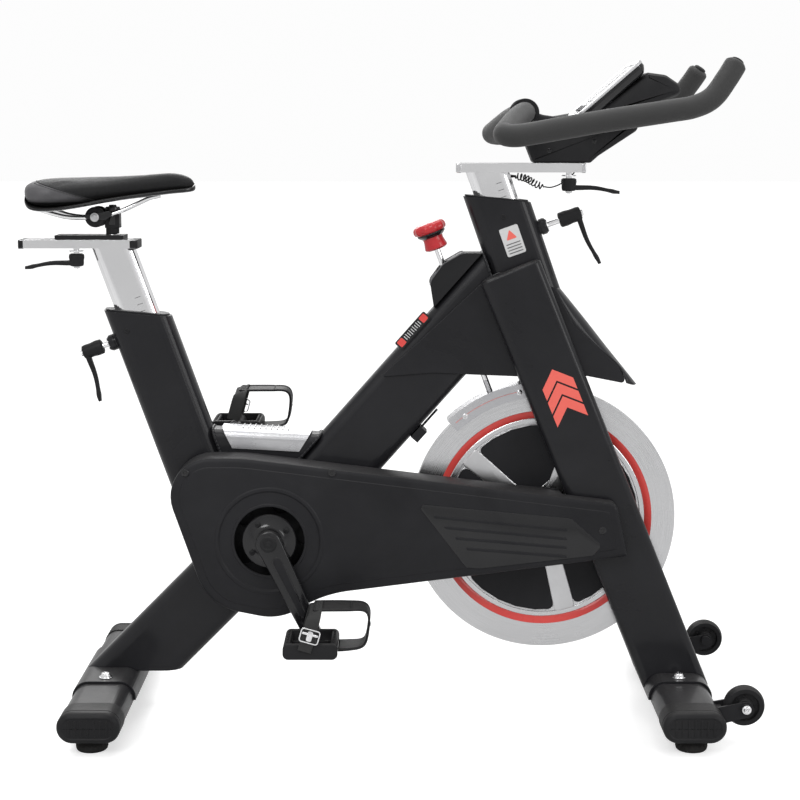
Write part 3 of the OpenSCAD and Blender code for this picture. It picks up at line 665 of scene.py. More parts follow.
def lathed(name, colour, tint, rough, centre, depth):
    """Metal turned on a lathe about an axle along y."""
    material, tree, shader = shade(name)
    edges = place_group(tree, edge_group, Radius=0.6 * MM, Amount=0.6)
    lines = place_group(tree, turned_group, Centre=centre, Depth=depth,
                        Normal=edges.outputs["Normal"])
    cloud = place_group(tree, patch_group, Scale=6.0)
    mixed = math_node(tree, "MULTIPLY", lines.outputs["Height"], cloud.outputs["Mask"], True)
    tree.links.new(colour_mix(tree, lines.outputs["Height"], colour, tint),
                   shader.inputs["Base Color"])
    rough_from(tree, shader, mixed, *rough)
    tree.links.new(lines.outputs["Normal"], shader.inputs["Normal"])
    shader.inputs["Metallic"].default_value = 1.0
    return material


def leather(name, colour, crease, rough, scale, depth):
    """Pebbled leather cloth: creases darker and duller than the polished tops."""
    material, tree, shader = shade(name)
    hide = place_group(tree, hide_group, Scale=scale, Depth=depth)
    cloud = place_group(tree, patch_group, Scale=18.0)
    base = colour_mix(tree, hide.outputs["Crease"], colour, crease)
    worn = colour_mix(tree, cloud.outputs["Mask"], base, tuple(1.35 * c for c in colour))
    tree.links.new(worn, shader.inputs["Base Color"])
    blotch = math_node(tree, "ADD", hide.outputs["Crease"], cloud.outputs["Mask"], True)
    rough_from(tree, shader, blotch, *rough)
    tree.links.new(hide.outputs["Normal"], shader.inputs["Normal"])
    shader.inputs["Specular IOR Level"].default_value = 0.16
    shader.inputs["Sheen Weight"].default_value = 0.1
    return material


def foam(name, colour, tint):
    """Closed-cell grip foam: tiny open cells and a matt skin."""
    material, tree, shader = shade(name)
    place = object_place(tree)
    cells = tree.nodes.new("ShaderNodeTexVoronoi")
    cells.inputs["Scale"].default_value = 900.0
    tree.links.new(place, cells.inputs["Vector"])
    cloud = place_group(tree, patch_group, Scale=16.0)
    bump = tree.nodes.new("ShaderNodeBump")
    bump.inputs["Distance"].default_value = 0.0005
    bump.inputs["Strength"].default_value = 0.5
    tree.links.new(cells.outputs["Distance"], bump.inputs["Height"])
    mixed = math_node(tree, "MULTIPLY", cells.outputs["Distance"], cloud.outputs["Mask"], True)
    tree.links.new(colour_mix(tree, mixed, colour, tint), shader.inputs["Base Color"])
    rough_from(tree, shader, cloud.outputs["Mask"], 0.62, 0.8)
    tree.links.new(bump.outputs[0], shader.inputs["Normal"])
    shader.inputs["Sheen Weight"].default_value = 0.15
    return material


def webbing(name, colour, tint):
    """Woven strap: two crossed waves as over-and-under threads."""
    material, tree, shader = shade(name)
    place = object_place(tree)
    threads = []
    for direction in ("X", "Z"):
        wave = tree.nodes.new("ShaderNodeTexWave")
        wave.bands_direction = direction
        wave.inputs["Scale"].default_value = 260.0
        wave.inputs["Distortion"].default_value = 0.4
        tree.links.new(place, wave.inputs["Vector"])
        threads.append(wave.outputs["Fac"])
    weave = math_node(tree, "MULTIPLY", threads[0], threads[1])
    bump = tree.nodes.new("ShaderNodeBump")
    bump.inputs["Distance"].default_value = 0.0005
    bump.inputs["Strength"].default_value = 0.7
    tree.links.new(weave, bump.inputs["Height"])
    tree.links.new(colour_mix(tree, weave, colour, tint), shader.inputs["Base Color"])
    rough_from(tree, shader, weave, 0.75, 0.95)
    tree.links.new(bump.outputs[0], shader.inputs["Normal"])
    return material


frame_paint = coated("black_frame_paint", (0.0105, 0.0105, 0.012), (0.016, 0.016, 0.018),
                     (0.05, 0.05, 0.055), (0.24, 0.4), (700.0, 0.06), coat=0.2, edge=1.5)
guard_plastic = coated("guard_plastic", (0.013, 0.013, 0.0145), (0.02, 0.02, 0.022),
                       (0.05, 0.05, 0.05), (0.34, 0.5), (1500.0, 0.12), edge=1.0)
black_plastic = coated("moulded_black_plastic", (0.012, 0.012, 0.013), (0.02, 0.02, 0.021),
                       (0.06, 0.06, 0.06), (0.38, 0.58), (1800.0, 0.18), edge=0.8)
gloss_plastic = coated("gloss_black_plastic", (0.007, 0.007, 0.008), (0.012, 0.012, 0.013),
                       (0.04, 0.04, 0.04), (0.12, 0.25), (400.0, 0.03), coat=0.6, edge=0.6)
rubber = coated("rubber", (0.012, 0.012, 0.012), (0.022, 0.021, 0.02), (0.05, 0.05, 0.048),
                (0.6, 0.85), (2200.0, 0.3), edge=0.6, dust=0.5)
red_plastic = coated("red_knob_plastic", (0.42, 0.022, 0.028), (0.5, 0.035, 0.04),
                     (0.6, 0.12, 0.12), (0.22, 0.36), (1200.0, 0.08), coat=0.35, dust=0.1)
red_enamel = coated("red_enamel", (0.6, 0.055, 0.05), (0.68, 0.08, 0.07), (0.7, 0.3, 0.28),
                    (0.22, 0.34), (500.0, 0.05), coat=0.4, edge=0.4, dust=0.05)
coral_print = coated("coral_print", (0.72, 0.12, 0.095), (0.8, 0.16, 0.13), (0.6, 0.2, 0.18),
                     (0.36, 0.5), (900.0, 0.05), edge=0.2, dust=0.05)
pale_print = coated("pale_print", (0.5, 0.5, 0.5), (0.6, 0.6, 0.6), (0.4, 0.4, 0.4),
                    (0.36, 0.5), (900.0, 0.05), edge=0.2, dust=0.05)
grey_print = coated("grey_print", (0.1, 0.1, 0.104), (0.13, 0.13, 0.135), (0.2, 0.2, 0.2),
                    (0.36, 0.5), (900.0, 0.05), edge=0.2, dust=0.05)
glass_black = coated("screen_window", (0.012, 0.014, 0.016), (0.02, 0.023, 0.026),
                     (0.05, 0.05, 0.05), (0.08, 0.16), (200.0, 0.01), coat=0.8, dust=0.1)
chrome = metal("bright_chrome", (0.9, 0.9, 0.91), (0.84, 0.84, 0.85), (0.07, 0.2),
               (60.0, 60.0, 900.0), 0.03)
brushed_steel = metal("brushed_steel", (0.62, 0.62, 0.63), (0.5, 0.5, 0.52), (0.22, 0.42),
                      (40.0, 1200.0, 1200.0), 0.12)
satin_alloy = metal("satin_alloy", (0.7, 0.7, 0.71), (0.6, 0.6, 0.61), (0.26, 0.44),
                    (300.0, 300.0, 300.0), 0.08)
rim_metal = lathed("turned_rim_metal", (0.5, 0.5, 0.51), (0.76, 0.76, 0.77), (0.2, 0.4),
                   (hub[0] * MM, 0.0, hub[1] * MM), 0.3)
saddle_black = leather("saddle_black_leather", (0.014, 0.014, 0.015), (0.006, 0.006, 0.006),
                       (0.36, 0.6), 460.0, 0.35)
grip_foam = foam("grip_foam", (0.012, 0.012, 0.012), (0.03, 0.03, 0.03))
strap_weave = webbing("strap_weave", (0.012, 0.012, 0.012), (0.05, 0.05, 0.05))
cord_jacket = coated("cord_jacket", (0.01, 0.01, 0.01), (0.018, 0.018, 0.018),
                     (0.04, 0.04, 0.04), (0.3, 0.45), (2600.0, 0.1), edge=0.2, dust=0.1)
thread = coated("stitch_thread", (0.03, 0.03, 0.03), (0.06, 0.06, 0.06), (0.1, 0.1, 0.1),
                (0.6, 0.8), (3000.0, 0.3), edge=0.1, dust=0.05)


# ---- Camera, light and floor ----

def make_camera():
    """The camera at the right side, a little above the saddle and tilted down."""
    data = bpy.data.cameras.new("camera")
    data.lens = 78.57
    data.sensor_width = 36.0
    data.shift_x = -0.0025
    data.clip_start = 0.05
    camera = bpy.data.objects.new("camera", data)
    camera.location = (0.022, -2.9, 0.980)
    camera.rotation_euler = (math.radians(81.18), 0.0, 0.0)
    bpy.context.scene.collection.objects.link(camera)
    bpy.context.scene.camera = camera


def soft_light(name, place, aim, size, power):
    """A square area light at a place, turned towards a point."""
    data = bpy.data.lights.new(name, "AREA")
    data.size = size
    data.energy = power
    lamp = bpy.data.objects.new(name, data)
    lamp.location = place
    lamp.rotation_euler = (Vector(aim) - Vector(place)).to_track_quat("-Z", "Y").to_euler()
    bpy.context.scene.collection.objects.link(lamp)


def make_stage():
    """A wide pale floor, soft lights from the right, left and top, and a surround that the
    camera sees as white while metal mirrors a ramp of greys that rises with height."""
    material, tree, shader = shade("pale_floor")
    shader.inputs["Base Color"].default_value = (0.62, 0.62, 0.62, 1.0)
    shader.inputs["Emission Color"].default_value = (1.0, 1.0, 1.0, 1.0)
    ray = tree.nodes.new("ShaderNodeLightPath").outputs["Is Camera Ray"]
    glow = math_node(tree, "MULTIPLY", ray, 0.55)
    tree.links.new(glow, shader.inputs["Emission Strength"])
    faint = noise_node(tree, object_place(tree), 0.7, 2.0)
    rough_from(tree, shader, faint, 0.22, 0.34)
    points, faces = sheet_grid(np.stack(np.meshgrid([-30e3, 30e3], [-30e3, 30e3], [-0.4]), -1)[:, :, 0])
    floor = piece("floor", (points, faces), material, "frame", ride=False)
    world = bpy.data.worlds.new("surround")
    world.use_nodes = True
    sky = world.node_tree
    direction = sky.nodes.new("ShaderNodeTexCoord").outputs["Generated"]
    split = sky.nodes.new("ShaderNodeSeparateXYZ")
    sky.links.new(direction, split.inputs[0])
    height = math_node(sky, "ADD", math_node(sky, "MULTIPLY", split.outputs["Z"], 0.5), 0.5)
    bands = sky.nodes.new("ShaderNodeValToRGB")
    sky.links.new(height, bands.inputs[0])
    levels = [(0.0, 0.3), (0.42, 0.45), (0.48, 0.6), (0.54, 0.7), (0.66, 0.8), (1.0, 0.85)]
    while len(bands.color_ramp.elements) < len(levels):
        bands.color_ramp.elements.new(0.5)
    for stop, (at, grey) in zip(bands.color_ramp.elements, levels):
        stop.position = at
        stop.color = (grey, grey, grey, 1.0)
    ray = sky.nodes.new("ShaderNodeLightPath").outputs["Is Camera Ray"]
    shown = colour_mix(sky, ray, bands.outputs[0], (0.98, 0.98, 0.98))
    sky.links.new(shown, sky.nodes["Background"].inputs[0])
    sky.nodes["Background"].inputs[1].default_value = 1.0
    bpy.context.scene.world = world
    soft_light("key", (-1.6, -3.2, 3.2), (0.0, 0.0, 0.5), 1.6, 60)
    soft_light("front_fill", (2.6, -1.8, 1.6), (0.2, 0.0, 0.5), 1.4, 24)
    soft_light("top", (0.0, 0.3, 3.4), (0.0, 0.0, 0.4), 2.2, 40)
    soft_light("far_side", (-0.6, 3.0, 2.2), (0.0, 0.0, 0.6), 1.6, 30)
    bpy.context.scene.view_settings.view_transform = "Standard"


make_camera()
make_stage()


# ---- The curly cord from the post to the console ----

coil_route = [(206, 12, 903), (216, 13, 902), (228, 18, 899), (237, 24, 894), (248, 27, 888),
              (260, 27, 885)]
lead_route = [(260, 27, 885), (268, 27, 884), (277, 27, 886), (286, 27, 890), (296, 27, 897),
              (306, 27, 906), (316, 27, 918), (324, 27, 930), (330, 26, 941), (334, 25, 952)]
cord_diameter = 2.3
coil_turns = 10


def make_cord():
    """A helix about the coil's route, its radius easing in and out over one turn at each end,
    then the straight lead; the centreline carries a round section."""
    axis = resampled(smooth_line(coil_route, 12), coil_turns * 18 + 1, False)
    along = unit(np.gradient(axis, axis=0))
    side = unit(np.cross(along, np.broadcast_to([0.0, 0.0, 1.0], along.shape)))
    over = np.cross(side, along)
    share = np.linspace(0, 1, len(axis))[:, None]
    ease = np.clip(np.minimum(share, 1 - share) * coil_turns / 1.4, 0, 1)
    ease = ease * ease * (3 - 2 * ease)
    turn = 2 * np.pi * coil_turns * share
    coil = axis + 5.3 * ease * (np.cos(turn) * side + np.sin(turn) * over)
    lead = smooth_line(lead_route, 4)
    path = np.vstack([[(203, 12, 903)], coil, lead[1:]])
    path = resampled(path, 2 * len(path), False)
    cord = piece("curly_cord", swept(path, circle(cord_diameter / 2, 8), (0.13, 0.97, 0.2)),
                 cord_jacket, None, ride=False)
    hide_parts("cord_coil", "cord_lead")
    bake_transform(cord)
    relief = spun([(0, 0), (3.4, 0), (3.4, 2), (2.6, 4), (2.2, 8), (1.5, 13), (0, 13)], 20)
    piece("cord_relief", moved(along_x(relief), path[0][0] - 5, path[0][1], path[0][2]),
          rubber, "bar_mast")


make_cord()


# ---- Welded frame details ----

def blade_cap():
    """The domed top of a fork blade: ovals shrinking by one minus cosine over the last height."""
    turn = np.linspace(0, np.pi / 2, 9)
    outline = rounded_box(blade_w, blade_t, blade_t / 2 - 0.5, 10)
    rings = [np.column_stack([inset(outline, 12.5 * (1 - math.cos(t))),
                              np.full(len(outline), 13.6 + 5.5 * math.sin(t))]) for t in turn]
    shape = join(loft(rings), prism(inset(outline, 3.2), 2, 13.6, 0.2, 1))
    return moved(leaned(shape, blade_top, blade_lean), 0, -blade_y, 0)


def weld_bead(outline, at, angle, point, normal, wave=2.6):
    """A rippled weld along the line where a leaned tube meets a plane: each outline point runs
    along the tube's axis to the plane, and the bead's size swells by a sine of its length."""
    ring = resampled(outline, 220)
    c, s = math.cos(math.radians(angle)), math.sin(math.radians(angle))
    start = np.column_stack([at[0] + ring[:, 0] * c, ring[:, 1], at[1] + ring[:, 0] * s])
    axis = np.array([-s, 0, c])
    face = np.array([normal[0], 0, normal[1]], float)
    reach = ((np.array([point[0], 0, point[1]]) - start) @ face) / (axis @ face)
    path = start + reach[:, None] * axis
    run = np.arange(len(path)) * 2 * np.pi * 40 / len(path)
    return swept(path, circle(wave, 8), axis + 0.01, 1 + 0.13 * np.sin(run), closed=True)


def make_frame_details():
    """Blade caps, weld beads, screw dots and the printed labels on the frame."""
    piece("fork_blade_caps", both(blade_cap()), frame_paint, "frame", 40)
    lean = math.radians(post_lean)
    front = np.array([math.cos(lean), math.sin(lean)])
    rise = np.array([math.cos(math.radians(beam_angle)), math.sin(math.radians(beam_angle))])
    beam_normal = np.array([-rise[1], rise[0]])
    cross = rounded_box(68, tube_t, 16)
    seat_face = np.array(seat_top) + front * tube_w / 2
    beam_face = np.array(beam_point) + beam_normal * beam_w / 2
    head_face = np.array(head_top) - front * tube_w / 2
    welds = join(
        weld_bead(cross, (-250, 448), 87, seat_face, front),
        weld_bead(cross, (-250, 448), 87, beam_face, beam_normal),
        weld_bead(rounded_box(beam_w, tube_t, 22), beam_point, beam_angle - 90, head_face, front))
    piece("weld_beads", welds, frame_paint, "frame", 60)
    dot = spun([(0, -2), (4.5, -2), (4.5, 0.6), (3.9, 1.2), (2.3, 1.3), (2.2, 0.4), (0, 0.3)], 20)
    at_head = np.array(head_top) + [9.5, -28.2]
    dots = join(on_hub(dot, at_head, -tube_t / 2), on_hub(dot, (-433, 650), -tube_t / 2))
    piece("tube_screws", both(dots), black_plastic, "frame")
    label = slab(rounded_outline([(-16, -24), (16, -24), (16, 24), (-16, 24)], 3), -0.5, 0, 0.1, 1)
    label_at = (203.5, 799)
    label = leaned(label, label_at, post_lean)
    piece("head_label", moved(label, 0, -tube_t / 2 - 0.2, 0), pale_print, "frame")
    mark = slab(rounded_outline([(-9, 3), (9, 3), (0, 19)], 1), -0.3, 0, 0.1, 1)
    mark = moved(leaned(mark, label_at, post_lean), 0, -tube_t / 2 - 0.75, 0)
    piece("head_label_mark", mark, coral_print, "frame")
    lines = join(*[slab(rounded_outline([(-12, z), (12, z), (12, z + 1.6), (-12, z + 1.6)], 0.3),
                        -0.3, 0, 0.1, 1) for z in (-5, -10, -15, -20)])
    lines = moved(leaned(lines, label_at, post_lean), 0, -tube_t / 2 - 0.75, 0)
    piece("head_label_lines", lines, grey_print, "frame")


def chevron(height, reach=27, thick=20):
    """One V stripe in a blade's own frame, its point up at the height."""
    drop = reach * 0.95
    return slab(np.array([(-reach, height - drop), (0, height), (reach, height - drop),
                          (reach, height - drop - thick), (0, height - thick),
                          (-reach, height - drop - thick)], float), -0.5, 0, 0.1, 1)


def make_blade_print():
    """Three nested chevrons on the outside of each blade."""
    stripes = moved(join(*[chevron(h) for h in (-158, -182, -206)]), 4)
    stripes = moved(leaned(stripes, blade_top, blade_lean), 0, -blade_y - blade_t / 2 - 0.1, 0)
    piece("blade_chevrons", both(stripes), coral_print, "frame")


def make_resistance_scale():
    """The plain resistance scale on the beam's right side: a strip, ticks and red end marks."""
    along = beam_angle
    centre = (39.4, 651)
    strip = slab(rounded_outline([(-36, -8), (36, -8), (36, 8), (-36, 8)], 3), -0.4, 0, 0.1, 1)
    ends = join(*[slab(rounded_outline([(x - 6, -6), (x + 6, -6), (x + 6, 6), (x - 6, 6)], 2),
                       -0.3, 0, 0.1, 1) for x in (-27, 27)])
    ticks = join(*[slab(rounded_outline([(x - 0.7, -4 - k % 2), (x + 0.7, -4 - k % 2),
                                         (x + 0.7, 4 + k % 2), (x - 0.7, 4 + k % 2)], 0.2),
                        -0.3, 0, 0.05, 1) for k, x in enumerate(np.linspace(-17, 17, 9))])
    side = -tube_t / 2 - 0.2
    piece("scale_strip", moved(leaned(strip, centre, along), 0, side, 0), gloss_plastic,
          "frame")
    piece("scale_ends", moved(leaned(ends, centre, along), 0, side - 0.45, 0), red_enamel,
          "frame")
    piece("scale_ticks", moved(leaned(ticks, centre, along), 0, side - 0.45, 0), pale_print,
          "frame")


make_frame_details()
make_blade_print()
make_resistance_scale()


# ---- Base ----

def base_outline(grow=0.0):
    """The oval section of the stabilisers in the side view."""
    return rounded_box(stab_w + 2 * grow, stab_h + 2 * grow, stab_h / 2 + grow - 0.5, 12)


def end_cap():
    """A ribbed oval cap: a sleeve over the tube, a lip, a chamfered oval face and ribs."""
    outline = base_outline(1.5)
    levels = [(0.2, 40), (0, 39), (0, 3), (0.7, 2.2), (0.7, 0.8), (0, 0), (0, -7.5), (1.2, -10.5),
              (3.6, -13), (7.5, -14.6), (8.6, -14.2), (9.4, -13.6), (23, -13.9), (23.6, -13.9)]
    rings = [np.column_stack([inset(outline, i)[:, 0], np.full(len(outline), -stab_half + y),
                              inset(outline, i)[:, 1]]) for i, y in levels]
    inner = [np.column_stack([inset(outline, 3.6)[:, 0], np.full(len(outline), -stab_half + y),
                              inset(outline, 3.6)[:, 1]]) for y in (0.2, 40)]
    ribs = [moved(slab(rounded_box(3.0, stab_h - 19 - abs(x) * 0.12, 1.4, 3), -stab_half - 14.9,
                       -stab_half - 13.2, 0.6, 2), x) for x in np.arange(-30, 31, 10)]
    return join(loft(inner[::-1] + rings, True), *ribs)


def levelling_foot():
    """A round foot: a flared pad with finger notches, a collar and a threaded stud."""
    pad = spun([(0, 0), (23.2, 0), (24.6, 1.4), (25.8, 5.6), (25.4, 8), (22.5, 14.6), (21, 16),
                (9, 16.4), (8.4, 19.5), (0, 19.5)], 48)
    ribs = wheel_of(moved(prism(rounded_box(1.6, 4.5, 0.7, 3), 5.5, 11.5, 0.5, 2), 25.0, 0, 0), 18)
    stud = swept(np.column_stack([np.zeros((60, 2)), np.linspace(17, 34, 60)]), circle(4.6, 16),
                 (1, 0.01, 0), 1 + 0.06 * np.sin(np.arange(60) * 2 * np.pi / 5))
    return join(pad, ribs, stud)


def socket_bolt(radius, height):
    """A domed bolt head with a six-sided socket, on a flanged washer."""
    dome = [(radius * 1.36, 0), (radius * 1.4, 0.6), (radius * 1.36, 1.5), (radius, 1.7),
            (radius * 0.98, height * 0.55), (radius * 0.82, height * 0.9), (radius * 0.6, height),
            (radius * 0.5, height)]
    head = spun([(0, 0)] + dome + [(radius * 0.46, height - 0.4), (0, height - 0.4)], 40)
    hexes = [np.column_stack([circle(radius * r, 6), np.full(6, z)])
             for r, z in ((0.5, height + 0.02), (0.44, height + 0.1), (0.4, height - 0.25))]
    return join(head, loft(hexes))


def make_base():
    """End caps, feet and bolts on both stabilisers."""
    for name, x in (("rear", stab_x[0]), ("front", stab_x[1])):
        piece(f"{name}_end_caps", both(moved(end_cap(), x, 0, stab_z)), black_plastic, "frame",
              32)
        feet = [moved(levelling_foot(), x, s * foot_y, 0) for s in (-1, 1)]
        piece(f"{name}_feet", join(*feet), rubber, "frame", 32)
        bolts = [moved(socket_bolt(8.2, 7.5), x, s * bolt_y, stab_z + stab_h / 2 + 4.2)
                 for s in (-1, 1)]
        piece(f"{name}_bolt_heads", join(*bolts), chrome, "frame", 32)


def transport_wheel():
    """A moulded wheel about z: a tyre tread, a dished web with eight round pockets and a hub."""
    tyre = spun([(23, -11), (30, -12), (wheel_r - 2.4, -9.4), (wheel_r - 0.6, -6), (wheel_r, -2),
                 (wheel_r - 0.8, -0.6), (wheel_r - 0.8, 0.6), (wheel_r, 2), (wheel_r - 0.6, 6),
                 (wheel_r - 2.4, 9.4), (30, 12), (23, 11), (22, 5.6), (13.4, 5.2), (12.6, 11),
                 (11.4, 12), (4.1, 12), (4.1, -12), (11.4, -12), (12.6, -11), (13.4, -5.2),
                 (22, -5.6)], 56, True)
    ring = spun([(2.2, 4.4), (2.9, 5.2), (2.9, 6.2), (2.4, 6.6), (2.0, 6.2), (2.0, 4.4)], 16, True)
    pockets = wheel_of(moved(ring, 17.6, 0, 0), 8)
    return join(tyre, pockets, (pockets[0] * np.array([1, 1, -1]), [f[::-1] for f in pockets[1]]))


def make_wheels():
    """Two transport wheels with their bolts, replacing the plain ones."""
    for name, side in (("right", -1), ("left", 1)):
        wheel = moved(along_y(transport_wheel()), wheel_at[0], side * wheel_y, wheel_at[1])
        made = piece(f"transport_wheel_{name}_detail", wheel, black_plastic, f"wheel_{name}",
                     32)
        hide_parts(f"transport_wheel_{name}")
        bolt = on_hub(socket_bolt(5.4, 5.5), wheel_at, 0)
        bolt = moved(bolt, 0, -(wheel_y + 23.6), 0)
        if side > 0:
            bolt = mirrored(bolt)
        piece(f"wheel_bolt_{name}", bolt, chrome, "frame", 32)


make_base()
make_wheels()


# ---- Drive: guard, cranks, flywheel ----

guard_corners = [(-386, 447), (-240, 447), (376, 371), (396, 281), (-110, 216), (-180, 172),
                 (-300, 196)]
guard_radii = [66, 300, 16, 6, 200, 90, 90]


def make_guard():
    """The outer guard as one closed shell: rings run from the hole round the crank over a
    ridge, a bevel line and a round edge to the open side, and back along the inner wall. A
    ring's points lie at the outline's own angles about the crank."""
    outline = resampled(rounded_outline(guard_corners, guard_radii, 12), 720)
    about = outline - np.array(bracket)
    angle = np.sort(np.arctan2(about[:, 1], about[:, 0]))
    down = math.radians(blade_lean)

    def round_ring(radius, y):
        """A circle round the crank at one depth."""
        return np.column_stack([bracket[0] + radius * np.cos(angle), np.full(len(angle), y),
                                bracket[1] + radius * np.sin(angle)])

    def edge_ring(amount, y):
        """The outline moved inwards, its corner radii smaller by as much, read off at the
        rings' own angles, at one depth or one for each point."""
        corners = inset(np.array(guard_corners, float), amount)
        radii = np.maximum(np.array(guard_radii) - amount, 3)
        line = resampled(rounded_outline(corners, radii, 12), 2880) - np.array(bracket)
        turn = np.arctan2(line[:, 1], line[:, 0])
        order = np.argsort(turn)
        reach = np.interp(angle, turn[order], np.hypot(line[:, 0], line[:, 1])[order],
                          period=2 * math.pi)
        return np.column_stack([bracket[0] + reach * np.cos(angle),
                                np.broadcast_to(y, len(angle)),
                                bracket[1] + reach * np.sin(angle)])

    face = guard_face
    edge = edge_ring(0, face)[:, [0, 2]] - np.array(blade_top)
    across = edge @ np.array([math.cos(down), math.sin(down)])
    open_side = np.where(np.abs(across) < blade_w / 2 + 5, -62.5, guard_open)
    rings = [round_ring(58, face + 3), round_ring(58, face + 0.8), round_ring(58.8, face),
             round_ring(62, face), round_ring(63, face + 1.2), round_ring(82, face + 1.2),
             round_ring(83.2, face - 0.2), round_ring(85, face - 1.3), round_ring(89, face - 1.3),
             round_ring(91, face), round_ring(92, face),
             edge_ring(17, face), edge_ring(15.8, face + 0.2), edge_ring(15, face + 1.1),
             edge_ring(7, face + 1.5), edge_ring(3.6, face + 2.4), edge_ring(1.2, face + 4.6),
             edge_ring(0, face + 8), edge_ring(0, open_side), edge_ring(2.8, open_side),
             edge_ring(2.8, face + 6), edge_ring(4.5, face + 3.6), edge_ring(17, face + 3),
             round_ring(92, face + 3)]
    guard = piece("belt_guard_shell", loft(rings, closed=True), guard_plastic, "frame",
                  28)
    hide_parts("belt_guard_outer")
    screw = spun([(0, -1), (6.2, -1), (6.2, 0.4), (5.4, 1.1), (2.8, 1.5), (2.6, 0.5), (0, 0.4)], 28)
    spots = [(-333.7, 422.8), (-92.8, 422.8), (352.6, 325.9)]
    piece("guard_screws", join(*[on_hub(screw, at, face) for at in spots]), gloss_plastic, "frame",
          30)
    panel = rounded_outline([(46, 371), (300, 347), (352, 301), (338, 284), (150, 262), (128, 264)],
                            [6, 10, 8, 8, 8, 6])
    piece("guard_panel", slab(panel, face - 1.1, face - 0.1, 0.5, 2), gloss_plastic, "frame",
          30)
    grooves = join(*[slab(rounded_outline([(72 + k * 18, 352 - k * 18), (292, 330 - k * 15),
                                           (296, 325 - k * 15), (76 + k * 18, 347 - k * 18)], 1.5),
                          face - 1.7, face - 1.0, 0.3, 2) for k in range(4)])
    piece("guard_panel_ribs", grooves, guard_plastic, "frame", 30)


def crank_outline(grow=0.0):
    """A crank arm's outline along x, shrunk by a negative grow."""
    return stadium(21 + grow, crank_len, 15 + grow)


def make_cranks():
    """Arms with round edges and a long hollow, the right one with its four-bolt spider."""
    for name, side, turn in (("right", -1, 0), ("left", 1, 180)):
        angle = -(crank_angle + turn)
        bar = slab(crank_outline(), -arm_y[1], -arm_y[0], 3.2, 4)
        hollow = stadium(9, 96, 6.5)
        rim = moved(slab(hollow, -arm_y[1] - 0.9, -arm_y[1] + 0.5, 0.7, 2), 34)
        valley = moved(slab(inset(hollow, 2.0), -arm_y[1] - 1.0, -arm_y[1] - 0.4, 0.25, 2), 34)
        shapes = [bar, rim]
        if side < 0:
            disc = along_y(spun([(10.2, 84), (44, 84), (45, 85), (45, 89), (43.5, 91), (30, 92),
                                 (26, 94.8), (10.2, 95.2)], 64, True))
            shapes.append(disc)
        arm = leaned(join(*shapes), bracket, angle)
        inlay = leaned(valley, bracket, angle)
        if side > 0:
            arm, inlay = mirrored(arm), mirrored(inlay)
        made = piece(f"crank_arm_{name}_detail", arm, gloss_plastic, "crank", 32)
        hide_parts(f"crank_arm_{name}")
        piece(f"crank_inlay_{name}", inlay, guard_plastic, "crank", 32)
        cap = on_hub(spun([(0, 0), (13.5, 0), (13.5, 1.6), (12.4, 2.6), (9, 2.9), (8.6, 2.1),
                           (5, 2.0), (4.6, 2.9), (0, 3.1)], 40), (0, 0), -arm_y[1])
        end = moved(on_hub(spun([(0, 0), (8, 0), (8, 1), (7, 1.8), (3.2, 1.8), (3, 1), (0, 1)], 32),
                           (0, 0), -arm_y[1]), crank_len)
        hardware = leaned(join(cap, end), bracket, angle)
        if side > 0:
            hardware = mirrored(hardware)
        piece(f"crank_caps_{name}", hardware, black_plastic, "crank", 32)
    bolts = wheel_of(moved(socket_bolt(3.6, 3.4), 34, 0, 0), 4, 33)
    piece("spider_bolts", moved(along_y(bolts), bracket[0], -91.6, bracket[1]), black_plastic,
          "crank", 32)


def flywheel_insert():
    """One black panel between two spokes, about the flywheel's axle, in the side view."""
    polar = [(46, 36), (66, 12), (161, 6), (161, 18), (161, 30), (161, 42), (161, 54), (161, 66),
             (66, 60)]
    r, a = np.array(polar, float).T
    corners = np.column_stack([r * np.cos(np.radians(a)), r * np.sin(np.radians(a))])
    return rounded_outline(corners, [0.2, 4, 10, 0.2, 0.2, 0.2, 0.2, 10, 4], 5)


def make_flywheel():
    """Red and silver rings, tapered spokes and trimmed inserts on both faces."""
    red = spun([(171.8, 9.0), (172.4, 9.6), (182.6, 12.7), (183.6, 12.8), (183.4, 12.1),
                (171.9, 8.3)], 200, True)
    silver = spun([(163.4, 8.1), (163.4, 9.4), (164.2, 10.0), (170.6, 10.0), (171.6, 9.4),
                   (171.7, 8.1)], 200, True)
    hub_ring = spun([(34.1, 8.1), (34.1, 14.5), (35.5, 16), (40, 15.2), (44.5, 11.5), (45.6, 8.1)],
                    96, True)
    spoke = slab(rounded_outline([(42, -13.2), (163.8, -17.4), (163.8, 17.4), (42, 13.2)],
                                 [2, 5, 5, 2]), -11.6, -8.1, 1.2, 3)
    outline = flywheel_insert()
    closed = np.column_stack([outline[:, 0], np.full(len(outline), -10.3), outline[:, 1]])
    trim = swept(resampled(closed, 260), circle(0.8, 6), (0, 1, 0), closed=True)
    turns = [-76 + 72 * k for k in range(5)]
    spokes = join(*[leaned(spoke, hub, t) for t in turns])
    trims = join(*[leaned(trim, hub, t) for t in turns])
    piece("flywheel_red_rings", both(on_hub(red, hub, 0)), red_enamel, "flywheel_assembly",
          30)
    piece("flywheel_silver_rings", both(join(on_hub(silver, hub, 0), on_hub(hub_ring, hub, 0))),
          rim_metal, "flywheel_assembly", 30)
    piece("flywheel_spokes", both(spokes), satin_alloy, "flywheel_assembly", 30)
    piece("insert_trims", both(trims), satin_alloy, "flywheel_assembly", 60)


make_guard()
make_cranks()
make_flywheel()


# ---- Pedals ----

